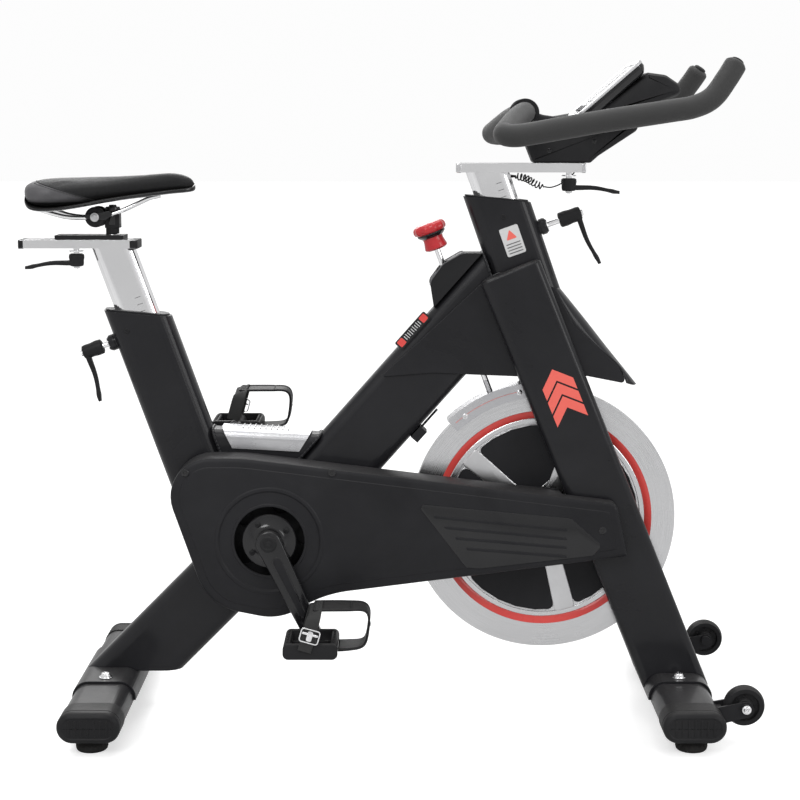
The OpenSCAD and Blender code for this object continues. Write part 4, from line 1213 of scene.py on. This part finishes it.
def pedal_body():
    """A cage pedal: two end plates, a barrel, front and rear bars with grip teeth, and ties."""
    inner, outer = -pedal_y[0], -pedal_y[1]
    outline = rounded_box(2 * pedal_x, 26, 9)
    plates = join(slab(outline, outer, outer + 8, 2, 3), slab(outline, inner - 8, inner, 2, 3))
    barrel = along_y(spun([(7.1, 116), (10.5, 116), (12, 120), (12.8, 140), (12, 150), (11, 160),
                           (12, 170), (12.8, 182), (12, 200), (10.5, 204), (7.1, 204)], 36, True))
    bar = slab(rounded_box(11, 23, 3), outer + 6, inner - 6, 1.2, 2)
    bars = join(moved(bar, 37.5), moved(bar, -37.5))
    tooth = spun([(0, 0), (2.1, 0), (1.9, 1.6), (1.2, 2.1), (0, 2.1)], 10)
    rows = [moved(tooth, x, y, 11.2) for x in (-37.5, 37.5)
            for y in np.linspace(outer + 14, inner - 14, 8)]
    teeth = join(*rows)
    under = (teeth[0] * np.array([1, 1, -1]), [f[::-1] for f in teeth[1]])
    ties = [moved(slab(rounded_box(70, 5, 1.5), y - 2, y + 2, 0.6, 2), 0) for y in (-150, -170)]
    return join(plates, barrel, bars, teeth, under, *ties)


def toe_cage():
    """A curved band out of the pedal's front and back over the shoe, with raised side rims."""
    line = smooth_line([(44, -2), (62, -1), (80, 1.5), (89, 10), (93.5, 34), (93.5, 54), (84, 63.5),
                        (60, 64.5), (30, 64.5), (6, 64.2)], 5)
    run = np.linspace(0, 1, len(line))
    half = 28 - 9 * np.sin(np.pi * np.clip(run * 1.15, 0, 1)) ** 2
    y = np.linspace(-1, 1, 13)
    dish = 1.6 * (1 - y ** 2)
    out = unit(np.gradient(line, axis=0)) @ np.array([[0, -1], [1, 0]])
    grid = np.stack([
        line[:, :1] + out[:, :1] * dish,
        -161 + half[:, None] * y,
        line[:, 1:] + out[:, 1:] * dish], -1)
    band = sheet_grid(grid)
    rims = [swept(grid[:, k], circle(1.9, 10), (0, 1, 0)) for k in (0, -1)]
    bars = [swept(grid[k], circle(1.6, 8), (0.3, 0, 1)) for k in (8, 20, 34, len(line) - 1)]
    return band, join(*rims, *bars)


def strap_loop():
    """A flat strap up the pedal's outer side, over the cage and down its inner side."""
    path = smooth_line([(-9, -208.6, 2), (-3, -208.9, 22), (3, -208.4, 44), (7, -204, 57),
                        (8.5, -192, 62.2), (9, -161, 66.8), (8.5, -132, 62.2), (7, -121, 57),
                        (3, -118.4, 44), (-2, -118.2, 26), (-5, -118.4, 14.5)], 5)
    return swept(path, rounded_box(2.0, 22, 0.9, 3), (1, 0.02, 0.3))


def buckle():
    """A bent wire buckle with its roller and tongue on the strap's outer side."""
    frame_line = rounded_outline([(-15, -11), (15, -11), (15, 11), (-15, 11)], 4, 5)
    ring = np.column_stack([frame_line[:, 0], np.full(len(frame_line), -211.4), frame_line[:, 1]])
    loop = swept(resampled(ring, 80), circle(1.3, 8), (0, 1, 0), closed=True)
    roller = moved(along_x(pin(2.2, -13, 13, 0.5, 14)), 0, -211.6, 3)
    tongue = slab(rounded_box(9, 17, 3), -213.2, -212.0, 0.5, 2)
    return leaned(join(loop, roller, tongue), (0, 28), -16)


def make_pedals():
    """Both pedals with their cages, straps and buckles."""
    reach = crank_len * np.array([math.cos(math.radians(crank_angle)),
                                  -math.sin(math.radians(crank_angle))])
    for name, side in (("right", -1), ("left", 1)):
        at = np.array(bracket) - side * reach

        def placed(shape):
            """Puts a right-hand pedal shape on this pedal's axle."""
            shape = mirrored(shape) if side > 0 else shape
            return moved(shape, at[0], 0, at[1])

        body = f"{name}_pedal"
        made = piece(f"pedal_{name}_detail", placed(pedal_body()), black_plastic, body,
                     32)
        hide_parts(f"pedal_{name}")
        band, rims = toe_cage()
        cage = piece(f"toe_cage_{name}_detail", placed(band), black_plastic, body,
                     50, solid=2.2)
        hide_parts(f"toe_cage_{name}")
        piece(f"toe_cage_rims_{name}", placed(rims), black_plastic, body, 50)
        piece(f"toe_strap_{name}", placed(strap_loop()), strap_weave, body, 40)
        piece(f"strap_buckle_{name}", placed(buckle()), chrome, body, 40)


make_pedals()


# ---- Posts, rails and the saddle's carriage ----

def make_rail_details():
    """Rail end caps, post height ticks, and the seat carriage's bright column and its sleeve."""
    def rail_cap(x0, x1, z):
        """A plug round a rail's end, with round edges."""
        section = rounded_box(rail_w + 1.2, z[1] - z[0] + 0.9, 3, 5)
        shape = along_x(prism(section[:, ::-1], x0, x1, 1.2, 3))
        return moved(shape, 0, 0, (z[0] + z[1]) / 2 - 0.42)

    piece("seat_rail_caps", join(rail_cap(seat_rail[0] - 2.5, seat_rail[0] + 6, seat_rail_z),
                                 rail_cap(seat_rail[1] - 10, seat_rail[1] + 3, seat_rail_z)),
          black_plastic, "seat_mast", 35)
    piece("bar_rail_caps", join(rail_cap(bar_rail[0] - 2.5, bar_rail[0] + 5, bar_rail_z),
                                rail_cap(bar_rail[1] - 5, bar_rail[1] + 1.5, bar_rail_z)),
          satin_alloy, "bar_mast", 35)
    for name, at, body in (("seat", seat_top, "seat_mast"), ("bar", head_top, "bar_mast")):
        ticks = [slab(rounded_outline([(x - 5, z), (x + 5, z), (x + 5, z + 0.9), (x - 5, z + 0.9)],
                                      0.3), -17.25, -16.95, 0.05, 1)
                 for x, z in [(11, h) for h in range(-60, 36, 12)]]
        piece(f"{name}_post_ticks", leaned(join(*ticks), at, post_lean), grey_print, body)
    column = spun([(5.2, 805.2), (11.5, 805.2), (11.5, 808), (9.6, 810), (9.4, 821), (10.8, 822),
                   (10.8, 823), (5.2, 823)], 36, True)
    sleeve = spun([(5.2, 823.4), (11.6, 823.4), (12.2, 824.4), (12.2, 851), (11.4, 853.4),
                   (6.6, 853.8), (6.0, 856.6), (0, 857)], 36)
    piece("seat_column", moved(column, -456), chrome, "saddle_slider", 35)
    piece("seat_sleeve", moved(sleeve, -456), gloss_plastic, "saddle_slider", 35)


def make_saddle_fittings():
    """The twin rails, the toothed clamp discs and the tilt bolt."""
    rail_line = [(-568, 34, 849), (-552, 32, 844), (-530, 27, 838), (-505, 22, 836),
                 (-470, 20, 838), (-440, 18, 847), (-415, 14, 858), (-395, 10, 867),
                 (-378, 9, 871)]
    rail = swept(smooth_line(rail_line, 8), circle(3.5, 16))
    made = piece("saddle_rail_pair", both(rail), chrome, "saddle", 50)
    disc = on_hub(spun([(4.2, 11.6), (15.4, 11.6), (16.6, 13), (17, 16), (16.6, 22), (15, 23.6),
                        (11.4, 24.2), (10.8, 23.2), (7.4, 23.2), (7, 25.6), (0, 26)], 48),
                  tilt_axis, 0)
    teeth = wheel_of(moved(prism(rounded_box(1.4, 4.4, 0.5, 3), 23.4, 24.6, 0.3, 2), 13.4), 24)
    teeth = on_hub(turned_z(teeth, 4), tilt_axis, 0)
    piece("saddle_clamp_discs", both(join(disc, teeth)), black_plastic, "saddle",
          35)
    clip = slab(rounded_outline([(-499, 834), (-464, 832), (-452, 842), (-458, 848), (-478, 845),
                                 (-497, 842)], 3), -25, -15.5, 1.4, 3)
    piece("saddle_rail_clips", both(clip), gloss_plastic, "saddle", 35)
    bolt = on_hub(moved(socket_bolt(5.2, 5), 0, 0, 25.6), tilt_axis, 0)
    piece("saddle_tilt_bolts", both(bolt), satin_alloy, "saddle", 35)
    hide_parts("saddle_rails")


saddle_stations = np.array([
    (-594, 30, 888, 874), (-590, 55, 894, 864), (-577, 76, 899, 855), (-548, 84, 901, 853),
    (-507, 74, 900, 858), (-470, 54, 901, 865), (-430, 36, 904, 871), (-390, 27, 908, 876),
    (-357, 24, 911, 880), (-335, 20, 907, 882), (-323, 12, 900, 884), (-319, 5, 893, 887)], float)


def saddle_ring(x, half, top, bottom, power=0.72, count=64):
    """A pillow ring across the saddle: half sizes times cosine and sine to a power."""
    turn = np.linspace(0, 2 * np.pi, count, endpoint=False)
    c, s = np.cos(turn), np.sin(turn)
    return np.column_stack([
        np.full(count, x), half * np.sign(c) * np.abs(c) ** power,
        (top + bottom) / 2 + (top - bottom) / 2 * np.sign(s) * np.abs(s) ** power])


def evaluated(obj):
    """The mesh that the live modifiers give now."""
    graph = bpy.context.evaluated_depsgraph_get()
    return bpy.data.meshes.new_from_object(obj.evaluated_get(graph))


def coordinates(mesh):
    """A mesh's points as an array."""
    flat = np.zeros(len(mesh.vertices) * 3, np.float32)
    mesh.vertices.foreach_get("co", flat)
    return flat.reshape(-1, 3)


def puffed(obj, pressure, most):
    """Remeshes the piece, swells it by cloth pressure with its underside pinned, and keeps each
    point's travel within the most allowed."""
    remesh = obj.modifiers.new("remesh", "REMESH")
    remesh.mode = "VOXEL"
    remesh.voxel_size = 0.0045
    mesh = evaluated(obj)
    obj.modifiers.clear()
    obj.data = mesh
    start = coordinates(mesh)
    low = start[:, 2] < 0.874 + 0.1 * np.clip(start[:, 0] + 0.48, 0, 0.2)
    held = obj.vertex_groups.new(name="held")
    held.add(np.flatnonzero(low).tolist(), 1.0, "REPLACE")
    cloth = obj.modifiers.new("cloth", "CLOTH")
    cloth.settings.quality = 5
    cloth.settings.use_pressure = True
    cloth.settings.uniform_pressure_force = pressure
    cloth.settings.effector_weights.gravity = 0.0
    cloth.settings.vertex_group_mass = "held"
    scene = bpy.context.scene
    for step in range(1, 21):
        scene.frame_set(step)
    swollen = coordinates(evaluated(obj))
    travel = swollen - start
    size = np.linalg.norm(travel, axis=1, keepdims=True)
    travel *= np.minimum(1, most / np.maximum(size, 1e-9))
    obj.modifiers.clear()
    scene.frame_set(1)
    mesh.vertices.foreach_set("co", (start + travel).astype(np.float32).ravel())
    relax = obj.modifiers.new("relax", "SMOOTH")
    relax.iterations = 4
    fine = obj.modifiers.new("fine", "SUBSURF")
    fine.levels = 1
    fine.render_levels = 1
    finished = evaluated(obj)
    obj.modifiers.clear()
    obj.data = finished
    finished.shade_smooth()


def saddle_skin():
    """Two leathers on one cover: the grey side panel lies below a curved seam line that falls
    from the tail's top to the underside at mid length; the seam's height is a cubic of x."""
    material, tree, shader = shade("saddle_two_leathers")
    place = object_place(tree)
    split = tree.nodes.new("ShaderNodeSeparateXYZ")
    tree.links.new(place, split.inputs[0])
    reach = math_node(tree, "ADD", split.outputs["X"], 0.590)
    straight = math_node(tree, "MULTIPLY", reach, -0.262)
    bend = math_node(tree, "MULTIPLY", math_node(tree, "POWER", reach, 3.0), -4.6)
    seam = math_node(tree, "ADD", math_node(tree, "ADD", straight, bend), 0.9005)
    under = math_node(tree, "SUBTRACT", seam, split.outputs["Z"])
    side = math_node(tree, "MULTIPLY", under, 1800.0, True)
    lip = math_node(tree, "SUBTRACT", 0.8635, split.outputs["Z"])
    above_lip = math_node(tree, "SUBTRACT", 1.0, math_node(tree, "MULTIPLY", lip, 1400.0, True))
    grey = math_node(tree, "MULTIPLY", side, above_lip, True)
    hide = place_group(tree, hide_group, Scale=430.0, Depth=0.3)
    cloud = place_group(tree, patch_group, Scale=22.0)
    black = colour_mix(tree, hide.outputs["Crease"], (0.012, 0.012, 0.013), (0.006, 0.006, 0.006))
    pale = colour_mix(tree, hide.outputs["Crease"], (0.075, 0.073, 0.077), (0.04, 0.04, 0.042))
    pale = colour_mix(tree, cloud.outputs["Mask"], pale, (0.1, 0.098, 0.103))
    tree.links.new(colour_mix(tree, grey, black, pale), shader.inputs["Base Color"])
    dull = math_node(tree, "MULTIPLY", math_node(tree, "SUBTRACT", 1.0, grey), 0.16)
    spread = math_node(tree, "MULTIPLY", hide.outputs["Crease"], 0.25)
    rough = math_node(tree, "ADD", math_node(tree, "ADD", dull, spread), 0.3)
    tree.links.new(rough, shader.inputs["Roughness"])
    tree.links.new(hide.outputs["Normal"], shader.inputs["Normal"])
    shader.inputs["Specular IOR Level"].default_value = 0.2
    shader.inputs["Sheen Weight"].default_value = 0.03
    return material


def surface_points(obj, starts, direction):
    """Where rays from the starts along one direction meet the piece, with the normals there."""
    mesh = obj.data
    tree = BVHTree.FromPolygons([v.co for v in mesh.vertices], [p.vertices for p in mesh.polygons])
    hits = [tree.ray_cast(Vector(p) * MM, Vector(direction)) for p in starts]
    kept = [h for h in hits if h[0] is not None]
    return np.array([h[0] for h in kept]) / MM, np.array([h[1] for h in kept])


def stitches(line, normals, length=3.2, gap=1.9, radius=0.55):
    """Short thread stitches laid end to end along a line on a surface."""
    run = np.concatenate([[0], np.cumsum(np.linalg.norm(np.diff(line, axis=0), axis=1))])
    starts = np.arange(0, run[-1] - length, length + gap)
    shapes = []
    for at in starts:
        along = np.linspace(at, at + length, 5)
        path = np.column_stack([np.interp(along, run, line[:, k]) for k in range(3)])
        up = unit(np.array([np.interp(at, run, normals[:, k]) for k in range(3)]))
        lift = radius * np.array([-0.2, 0.7, 1.0, 0.7, -0.2])[:, None]
        shapes.append(swept(path + up * lift, circle(radius, 6), up + 0.01))
    return join(*shapes)


def make_saddle():
    """The padded cover, its side seam welts and stitching, and the base tray."""
    inner = saddle_stations + [0, -2.6, -2.6, 1.2]
    rows = smooth_line(inner, 6)
    rings = [saddle_ring(*row) for row in rows]
    cover = piece("saddle_pad", loft(rings), saddle_skin(), None, ride=False)
    puffed(cover, 4.0, 0.0055)
    cover.data.materials.clear()
    cover.data.materials.append(bpy.data.materials["saddle_two_leathers"])
    x = np.linspace(-586, -474, 60)
    reach = (x + 590) * MM
    z = (0.9005 - 0.262 * reach - 4.6 * reach ** 3) / MM
    starts = np.column_stack([x, np.full(60, -200.0), z])
    line, normals = surface_points(cover, starts, (0, 1, 0))
    welt = swept(line + 0.25 * normals, circle(0.9, 8), (0.1, 1, 0.1))
    piece("saddle_side_seams", both(welt), saddle_black, "saddle", 60)
    shifted = line + np.array([0.0, 0.0, -2.6])
    low, low_normals = surface_points(
        cover, np.column_stack([shifted[:, 0], np.full(len(shifted), -200.0), shifted[:, 2]]),
        (0, 1, 0))
    piece("saddle_stitching", both(stitches(low, low_normals)), thread, "saddle",
          60)
    base_rows = smooth_line(saddle_stations, 5)
    tray = [saddle_ring(r[0], max(r[1] - 1.5, 3), r[3] + 2.4, r[3] - 5.5, 0.55) for r in base_rows]
    tray_piece = piece("saddle_tray", loft(tray), gloss_plastic, "saddle", 40)
    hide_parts("saddle_base")
    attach(cover, "saddle")
    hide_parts("saddle_cover")
    return cover


make_rail_details()
make_saddle_fittings()
make_saddle()


# ---- Handlebar and console ----

bar_half = [(538, 170, 1084), (520, 178, 1056), (498, 186, 1028), (470, 191, 1014),
            (430, 195, 1007), (324, 201, 991), (225, 206, 974), (196, 204, 970), (180, 190, 972),
            (184, 165, 978), (203, 90, 996), (218, 40, 1005), (222, 20, 1006)]


def make_handlebar():
    """The foam-covered bar on one smooth path with rounded foam ends, end plugs and the black
    sleeve rings at the centre clamp."""
    right = np.array(bar_half, float) * [1, -1, 1]
    left = np.array(bar_half, float)[::-1]
    path = resampled(smooth_line(np.vstack([right, left]), 14), 340, False)
    run = np.concatenate([[0], np.cumsum(np.linalg.norm(np.diff(path, axis=0), axis=1))])
    from_end = np.minimum(run, run[-1] - run)
    round_end = np.sqrt(np.clip(1 - (1 - np.clip(from_end / 9, 0, 1)) ** 2, 0.02, 1))
    near_centre = np.abs(path[:, 1]) < 27
    size = np.where(near_centre, 0.93, round_end)
    bar = piece("foam_handlebar", swept(path, circle(bar_r, 32), (0, 0, 1), size), grip_foam,
                "bar_slider", 60)
    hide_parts("handlebar")
    plug = []
    for end in (0, -1):
        out = unit(path[end] - path[end + (3 if end == 0 else -3)])
        line = path[end] + out * np.linspace(-4, 1.4, 7)[:, None]
        plug.append(swept(line, circle(10.5, 28), (0, 0, 1), [1, 1, 1, 1, 0.98, 0.9, 0.7]))
    piece("bar_end_plugs", join(*plug), black_plastic, "bar_slider", 60)
    rings = [along_y(spun([(17.6, y0), (22.4, y0), (23.2, y0 + 1), (23.2, y0 + 3), (22.4, y0 + 4),
                           (17.6, y0 + 4)], 48, True)) for y0 in (24.2, -28.2)]
    piece("bar_clamp_rings", moved(join(*rings), 222, 0, 1006), black_plastic, "bar_slider",
          40)


def stepped(outline, levels):
    """An outline stacked through (inset, y) levels with flat ends."""
    rings = [np.column_stack([inset(outline, i)[:, 0], np.full(len(outline), y),
                              inset(outline, i)[:, 1]]) for i, y in levels]
    return loft(rings)


def make_bar_cover():
    """The moulded cover under the console: side walls with a seam groove and screw dots."""
    outline = rounded_outline(
        [(236, 925.4), (330, 925.4), (343, 937), (404, 977), (416, 1003), (330, 1000),
         (300, 996), (252, 1003), (222, 1012), (210, 990)], [5, 6, 12, 12, 4, 10, 20, 20, 14, 16], 8)
    half = [(6.5, -25), (3.4, -24.2), (1.2, -22.4), (0, -19), (0, -1.4), (0.9, -0.9), (0.9, 0.9),
            (0, 1.4), (0, 19), (1.2, 22.4), (3.4, 24.2), (6.5, 25)]
    cover = piece("bar_cover_shell", stepped(outline, half), black_plastic, "bar_slider",
                  35)
    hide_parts("bar_cover")
    dot = spun([(0, -1), (3.8, -1), (3.8, 0.5), (3.2, 1), (1.8, 1.2), (1.6, 0.4), (0, 0.4)], 24)
    spots = [(262, 945), (335, 960), (262, 985)]
    piece("bar_cover_screws", both(join(*[on_hub(dot, at, -25) for at in spots])), gloss_plastic,
          "bar_slider", 30)


def make_console():
    """The console in its own frame, x up its face and z out of its back: a silver bezel, a
    black case with sloped sides, buttons, and the rounded housing behind."""
    def face_outline(grow):
        """The rounded rectangle of the face."""
        points = rounded_box(136 + 2 * grow, 150 + 2 * grow, 14 + grow, 6)
        return points + [68, 0]

    bezel_levels = [(-9, -1.2), (-7.5, 0.6), (-2, 1.8), (-0.6, 1.2), (0, -0.6), (0, -3.6), (-1.5, -4)]
    ring = [np.column_stack([face_outline(g), np.full(len(face_outline(0)), z)])
            for g, z in bezel_levels]
    inside = [np.column_stack([face_outline(-9), np.full(len(face_outline(0)), -3)])]
    bezel = leaned(loft(ring + inside, closed=True), console_at, console_lean)
    case_levels = [(-9.5, -1.4), (-1.6, -3.8), (-0.8, -5), (-0.8, -9), (-5, -15), (-9, -18.6),
                   (-14, -19.8), (-20, -20)]
    case = loft([np.column_stack([face_outline(g), np.full(len(face_outline(0)), z)])
                 for g, z in case_levels])
    case = leaned(case, console_at, console_lean)
    body = piece("console_case", case, gloss_plastic, "bar_slider", 30)
    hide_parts("console")
    piece("console_bezel", bezel, satin_alloy, "bar_slider", 40)
    window = prism(rounded_box(84, 112, 6), -1.2, 0.2, 0.5, 2)
    window = leaned(moved(window, 82), console_at, console_lean)
    screen = piece("console_window", window, glass_black, "bar_slider", 35)
    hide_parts("console_screen")
    buttons = join(*[moved(spun([(0, -1), (7, -1), (7, 0.8), (5.6, 1.7), (0, 2.0)], 32), 21, y)
                     for y in (-38, 0, 38)])
    piece("console_buttons", leaned(buttons, console_at, console_lean), grey_print, "bar_slider",
          40)
    outline = rounded_outline([(323, 1001), (352, 986), (471, 1036), (470, 1050), (446, 1066),
                               (416, 1070)], [6, 12, 9, 14, 16, 6], 8)
    levels = [(9, -60), (4, -58), (1.2, -53), (0, -46), (0, -20), (0.8, -19.2), (0.8, -18.4),
              (0, -17.6), (0, 17.6), (0.8, 18.4), (0.8, 19.2), (0, 20), (0, 46), (1.2, 53),
              (4, 58), (9, 60)]
    piece("console_housing", stepped(outline, levels), black_plastic, "bar_slider",
          32)
    clip = along_x(prism(rounded_box(5, 9, 1.5), 0, 13, 1, 2))
    piece("cord_clip", moved(leaned(moved(clip, -6), (0, 0), 55), 321, 27, 923), black_plastic,
          "bar_slider", 35)


make_handlebar()
make_bar_cover()
make_console()


# ---- Levers ----

def lever_parts(stud_from, hub_from, hub_to, arm):
    """A clamp lever along z with its arm to +x: chrome stud, ribbed hub and a paddle whose
    width dips and swells again along its length."""
    stud = join(pin(4.8, stud_from, hub_from + 1, 0.6, 24),
                spun([(5, -0.2), (11.8, -0.2), (12.2, 0.6), (11.8, 1.6), (5, 1.8)], 36, True))
    end = moved(pin(5.4, hub_to - 0.5, hub_to + 3.6, 0.9, 24), 0)
    tall = hub_to - hub_from
    hub_shape = spun([(0, hub_from), (9.6, hub_from), (12.4, hub_from + 1.6),
                      (12.9, hub_from + tall * 0.3), (11.8, hub_from + tall * 0.55),
                      (12.0, hub_to - 6), (11.2, hub_to - 1.2), (9, hub_to), (0, hub_to)], 40)
    share = np.linspace(0, 1, 25)
    x = 3 + (arm + 3) * share
    half = 9.5 - 6.8 * np.sin(np.pi * np.clip(share * 1.15, 0, 1)) ** 1.5 * 0.55 - 1.2 * share
    half *= np.sqrt(np.clip(1 - (np.clip(share - 0.9, 0, 1) / 0.104) ** 2, 0.05, 1))
    thick = 4.6 - 2.0 * share + 0.9 * np.exp(-((share - 0.86) / 0.07) ** 2)
    z = hub_to - 6.5 + 0.105 * x - 3.0 * np.sin(np.pi * share) ** 2
    section = oval(2, 2, 3.2, 28)
    rings = np.stack([
        np.broadcast_to(x[:, None], (25, 28)),
        half[:, None] * section[:, 0],
        z[:, None] + thick[:, None] * section[:, 1]], -1)
    return join(stud, end), join(hub_shape, loft(rings))


def make_levers():
    """The four clamp levers, each turned to its place."""
    def rear(shape):
        """Lever axis to the rear of a leaned tube, arm downwards."""
        x, y, z = shape[0].T
        return np.column_stack([-z - tube_w / 2 - 12.5, y, -x - 33]), shape[1]

    def front(shape):
        """Lever axis to the front of a leaned tube, arm downwards."""
        x, y, z = shape[0].T
        return np.column_stack([z + tube_w / 2 + 12.5, y, -x - 68]), shape[1]

    def under_seat(shape):
        """Lever axis down, arm to the rear."""
        x, y, z = shape[0].T
        return np.column_stack([seat_screw_x - x, y, seat_rail_z[0] - 5 - z]), shape[1]

    def under_bar(shape):
        """Lever axis down, arm to the front."""
        x, y, z = shape[0].T
        return np.column_stack([bar_screw_x + x, y, bar_rail_z[0] - 5 - z]), shape[1]

    plans = [
        ("seat_post_lever", lever_parts(-16, 12, 47, 80),
         lambda s: leaned(rear(s), seat_top, post_lean), "lever_seat_post"),
        ("bar_post_lever", lever_parts(-16, 22, 60, 84),
         lambda s: leaned(front(s), head_top, post_lean), "lever_bar_post"),
        ("seat_slide_lever", lever_parts(-12, 5, 26, 80), under_seat, "lever_seat_slide"),
        ("bar_slide_lever", lever_parts(-12, 5, 26, 78), under_bar, "lever_bar_slide"),
    ]
    for name, (bright, dark), put, body in plans:
        made = piece(f"{name}_handle", put(dark), black_plastic, body, 35)
        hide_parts(name)
        piece(f"{name}_stud", put(bright), chrome, body, 35)
    collar = spun([(6.4, 0), (13.6, 0), (13.6, 7.5), (12.6, 9.4), (6.4, 9.8)], 36, True)
    seat_boss = along_x(collar)
    seat_boss = (seat_boss[0] * [-1, 1, 1], [f[::-1] for f in seat_boss[1]])
    seat_boss = moved(seat_boss, -tube_w / 2 - 1.8, 0, -33)
    bar_boss = moved(along_x(collar), tube_w / 2 + 1.8, 0, -68)
    piece("clamp_bosses", join(leaned(seat_boss, seat_top, post_lean),
                               leaned(bar_boss, head_top, post_lean)),
          frame_paint, "frame", 35)


make_levers()


# ---- Brake and shroud ----

def fluted(profile, lobes, depth, sides=120):
    """A spun profile whose radius swells by a cosine of the angle where it is widest."""
    points, faces = spun(profile, sides)
    radius = np.hypot(points[:, 0], points[:, 1])
    angle = np.arctan2(points[:, 1], points[:, 0])
    share = np.clip((radius - 17) / 8, 0, 1)
    swell = 1 + depth * share * np.cos(lobes * angle)
    return points * np.column_stack([swell, swell, np.ones(len(points))]), faces


def make_brake():
    """The knob's red cap, dark band and flared red base, the rod's rubber collar, the dome's
    edge line, and the magnet arm's strip and bolts."""
    cap = fluted([(0, 10.5), (5.4, 10.5), (5.4, 5.5), (22, 5.5), (26.2, 8.6), (27.2, 12),
                  (26.8, 16.5), (24.4, 20.4), (19, 22.6), (9, 23.9), (0, 24.1)], 10, 0.028)
    band = spun([(5.4, -1.6), (17.6, -1.6), (21.4, 1.2), (23.8, 3.8), (23.4, 6.2), (5.4, 6.2)],
                60, True)
    base = spun([(5.4, -23), (14.6, -23), (18.8, -20.6), (19.3, -18.6), (17.6, -11), (16.6, -6),
                 (17.2, -1), (5.4, -1)], 60, True)
    made = piece("knob_cap", leaned(cap, rod_point, rod_lean), red_plastic, "knob", 40)
    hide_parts("brake_knob")
    piece("knob_band", leaned(band, rod_point, rod_lean), gloss_plastic, "knob", 35)
    piece("knob_base", leaned(base, rod_point, rod_lean), red_plastic, "knob", 35)
    collar = spun([(5.8, -58), (11.5, -62), (15.4, -63), (16.2, -61), (14.4, -57), (9.4, -51.5),
                   (6.6, -50.5), (5.8, -51.5)], 44, True)
    piece("rod_collar", leaned(collar, rod_point, rod_lean), rubber, "frame", 40)
    dome = rounded_outline([(76, 680), (68, 731), (89, 760), (120, 778), (175, 778), (175, 740)],
                           [0.2, 14, 24, 14, 0.2, 0.2], 10)
    over = dome[(dome[:, 1] > 690) & (dome[:, 0] < 150)]
    line = resampled(smooth_line(over, 3), 90, False)
    edge = np.column_stack([line[:, 0], np.full(90, -24.1), line[:, 1]])
    piece("dome_edges", both(swept(edge, circle(1.1, 8), (0, 1, 0))), grey_print, "frame",
          60)
    turn = np.radians(np.linspace(100, 132, 40))
    strip = np.column_stack([hub[0] + 221 * np.cos(turn), np.full(40, -20.3),
                             hub[1] + 221 * np.sin(turn)])
    piece("brake_arm_strip", both(swept(strip, rounded_box(0.5, 1.6, 0.2, 2), (0, 1, 0))),
          coral_print, "arm", 60)
    bolt = socket_bolt(3.4, 3.2)
    spots = [(hub[0] + 220 * math.cos(math.radians(a)), hub[1] + 220 * math.sin(math.radians(a)))
             for a in (101, 127)]
    piece("brake_arm_bolts", both(join(*[on_hub(bolt, at, -20) for at in spots])), chrome, "arm",
          35)


def make_shroud():
    """Side panels with round edges, and the front band: across the width it
    runs from the panel's front edge out to the middle line by a half ellipse."""
    panel = rounded_outline([(-14, 573), (73, 580), (222, 574), (329, 575), (395, 562),
                             (381, 593), (307, 659), (274, 722), (182, 748), (162, 738)],
                            [3, 60, 60, 20, 5, 12, 30, 4, 12, 6], 6)
    levels = [(0.4, -28.5), (0, -28.9), (0, -30.3), (0.9, -31.3)]
    panels = piece("shroud_panels", both(stepped(panel, levels)), frame_paint, "frame",
                   30)
    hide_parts("flywheel_shroud")
    side = resampled(smooth_line([(274, 721), (290, 688), (307, 659), (342, 627), (381, 593),
                                  (394.5, 563)], 8), 44, False)
    middle = resampled(smooth_line([(282.5, 721.5), (306, 693), (332, 661), (362, 623),
                                    (393, 585), (414.5, 558.5)], 8), 44, False)
    across = np.sin(np.linspace(-np.pi / 2, np.pi / 2, 41))
    out = np.sqrt(np.clip(1 - across ** 2, 0, 1))[None, :, None]
    flat = side[:, None] * (1 - out) + middle[:, None] * out
    grid = np.stack([flat[..., 0], np.broadcast_to(31.2 * across, flat.shape[:2]), flat[..., 1]], -1)
    piece("shroud_front", sheet_grid(grid), frame_paint, "frame", 60, solid=2.2)


make_brake()
make_shroud()


# ---- The step plate over the cross tube ----

def make_step():
    """Raised ribs across the bright plate, tilted with it about its middle."""
    ribs, faces = join(*[moved(prism(rounded_box(2.2, 38, 1.0, 3), 0, 1.4, 0.6, 2), x)
                         for x in np.arange(-38, 39, 9.5)])
    middle = (-206, 484.4)
    tilt = math.radians(-3)
    x, y, z = ribs.T
    tilted = np.column_stack([middle[0] + x * math.cos(tilt) + z * math.sin(tilt), y,
                              middle[1] + x * math.sin(tilt) + z * math.cos(tilt)])
    piece("step_ribs", (tilted, faces), satin_alloy, "frame", 40)


make_step()


# ---- Finishes on the CAD nodes that stay ----

node_finish = {
    frame_paint: ["seat_tube", "main_beam", "rear_leg", "cross_tube", "head_tube", "fork_blades",
                  "side_rails", "bottom_bracket_shell", "stabilisers", "stabiliser_plates"],
    guard_plastic: ["belt_guard_inner", "post_liners", "wheel_brackets", "speed_sensor",
                    "flywheel_inserts"],
    black_plastic: ["crank_pulley", "saddle_carriage", "brake_housing"],
    rubber: ["drive_belt"],
    chrome: ["crank_axle", "pedal_axles", "stabiliser_bolts", "axle_hardware", "brake_rod",
             "bottom_bracket_bearings", "seat_post", "bar_post"],
    brushed_steel: ["step_plate", "flywheel_pulley", "brake_arm"],
    rim_metal: ["flywheel"],
}
for finish_material, names in node_finish.items():
    for name in names:
        node_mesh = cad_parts[name].data
        node_mesh.materials.clear()
        node_mesh.materials.append(finish_material)

for replaced, stand_in in (("stabiliser_end_caps", "front_end_caps"),
                           ("levelling_feet", "front_feet")):
    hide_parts(replaced)
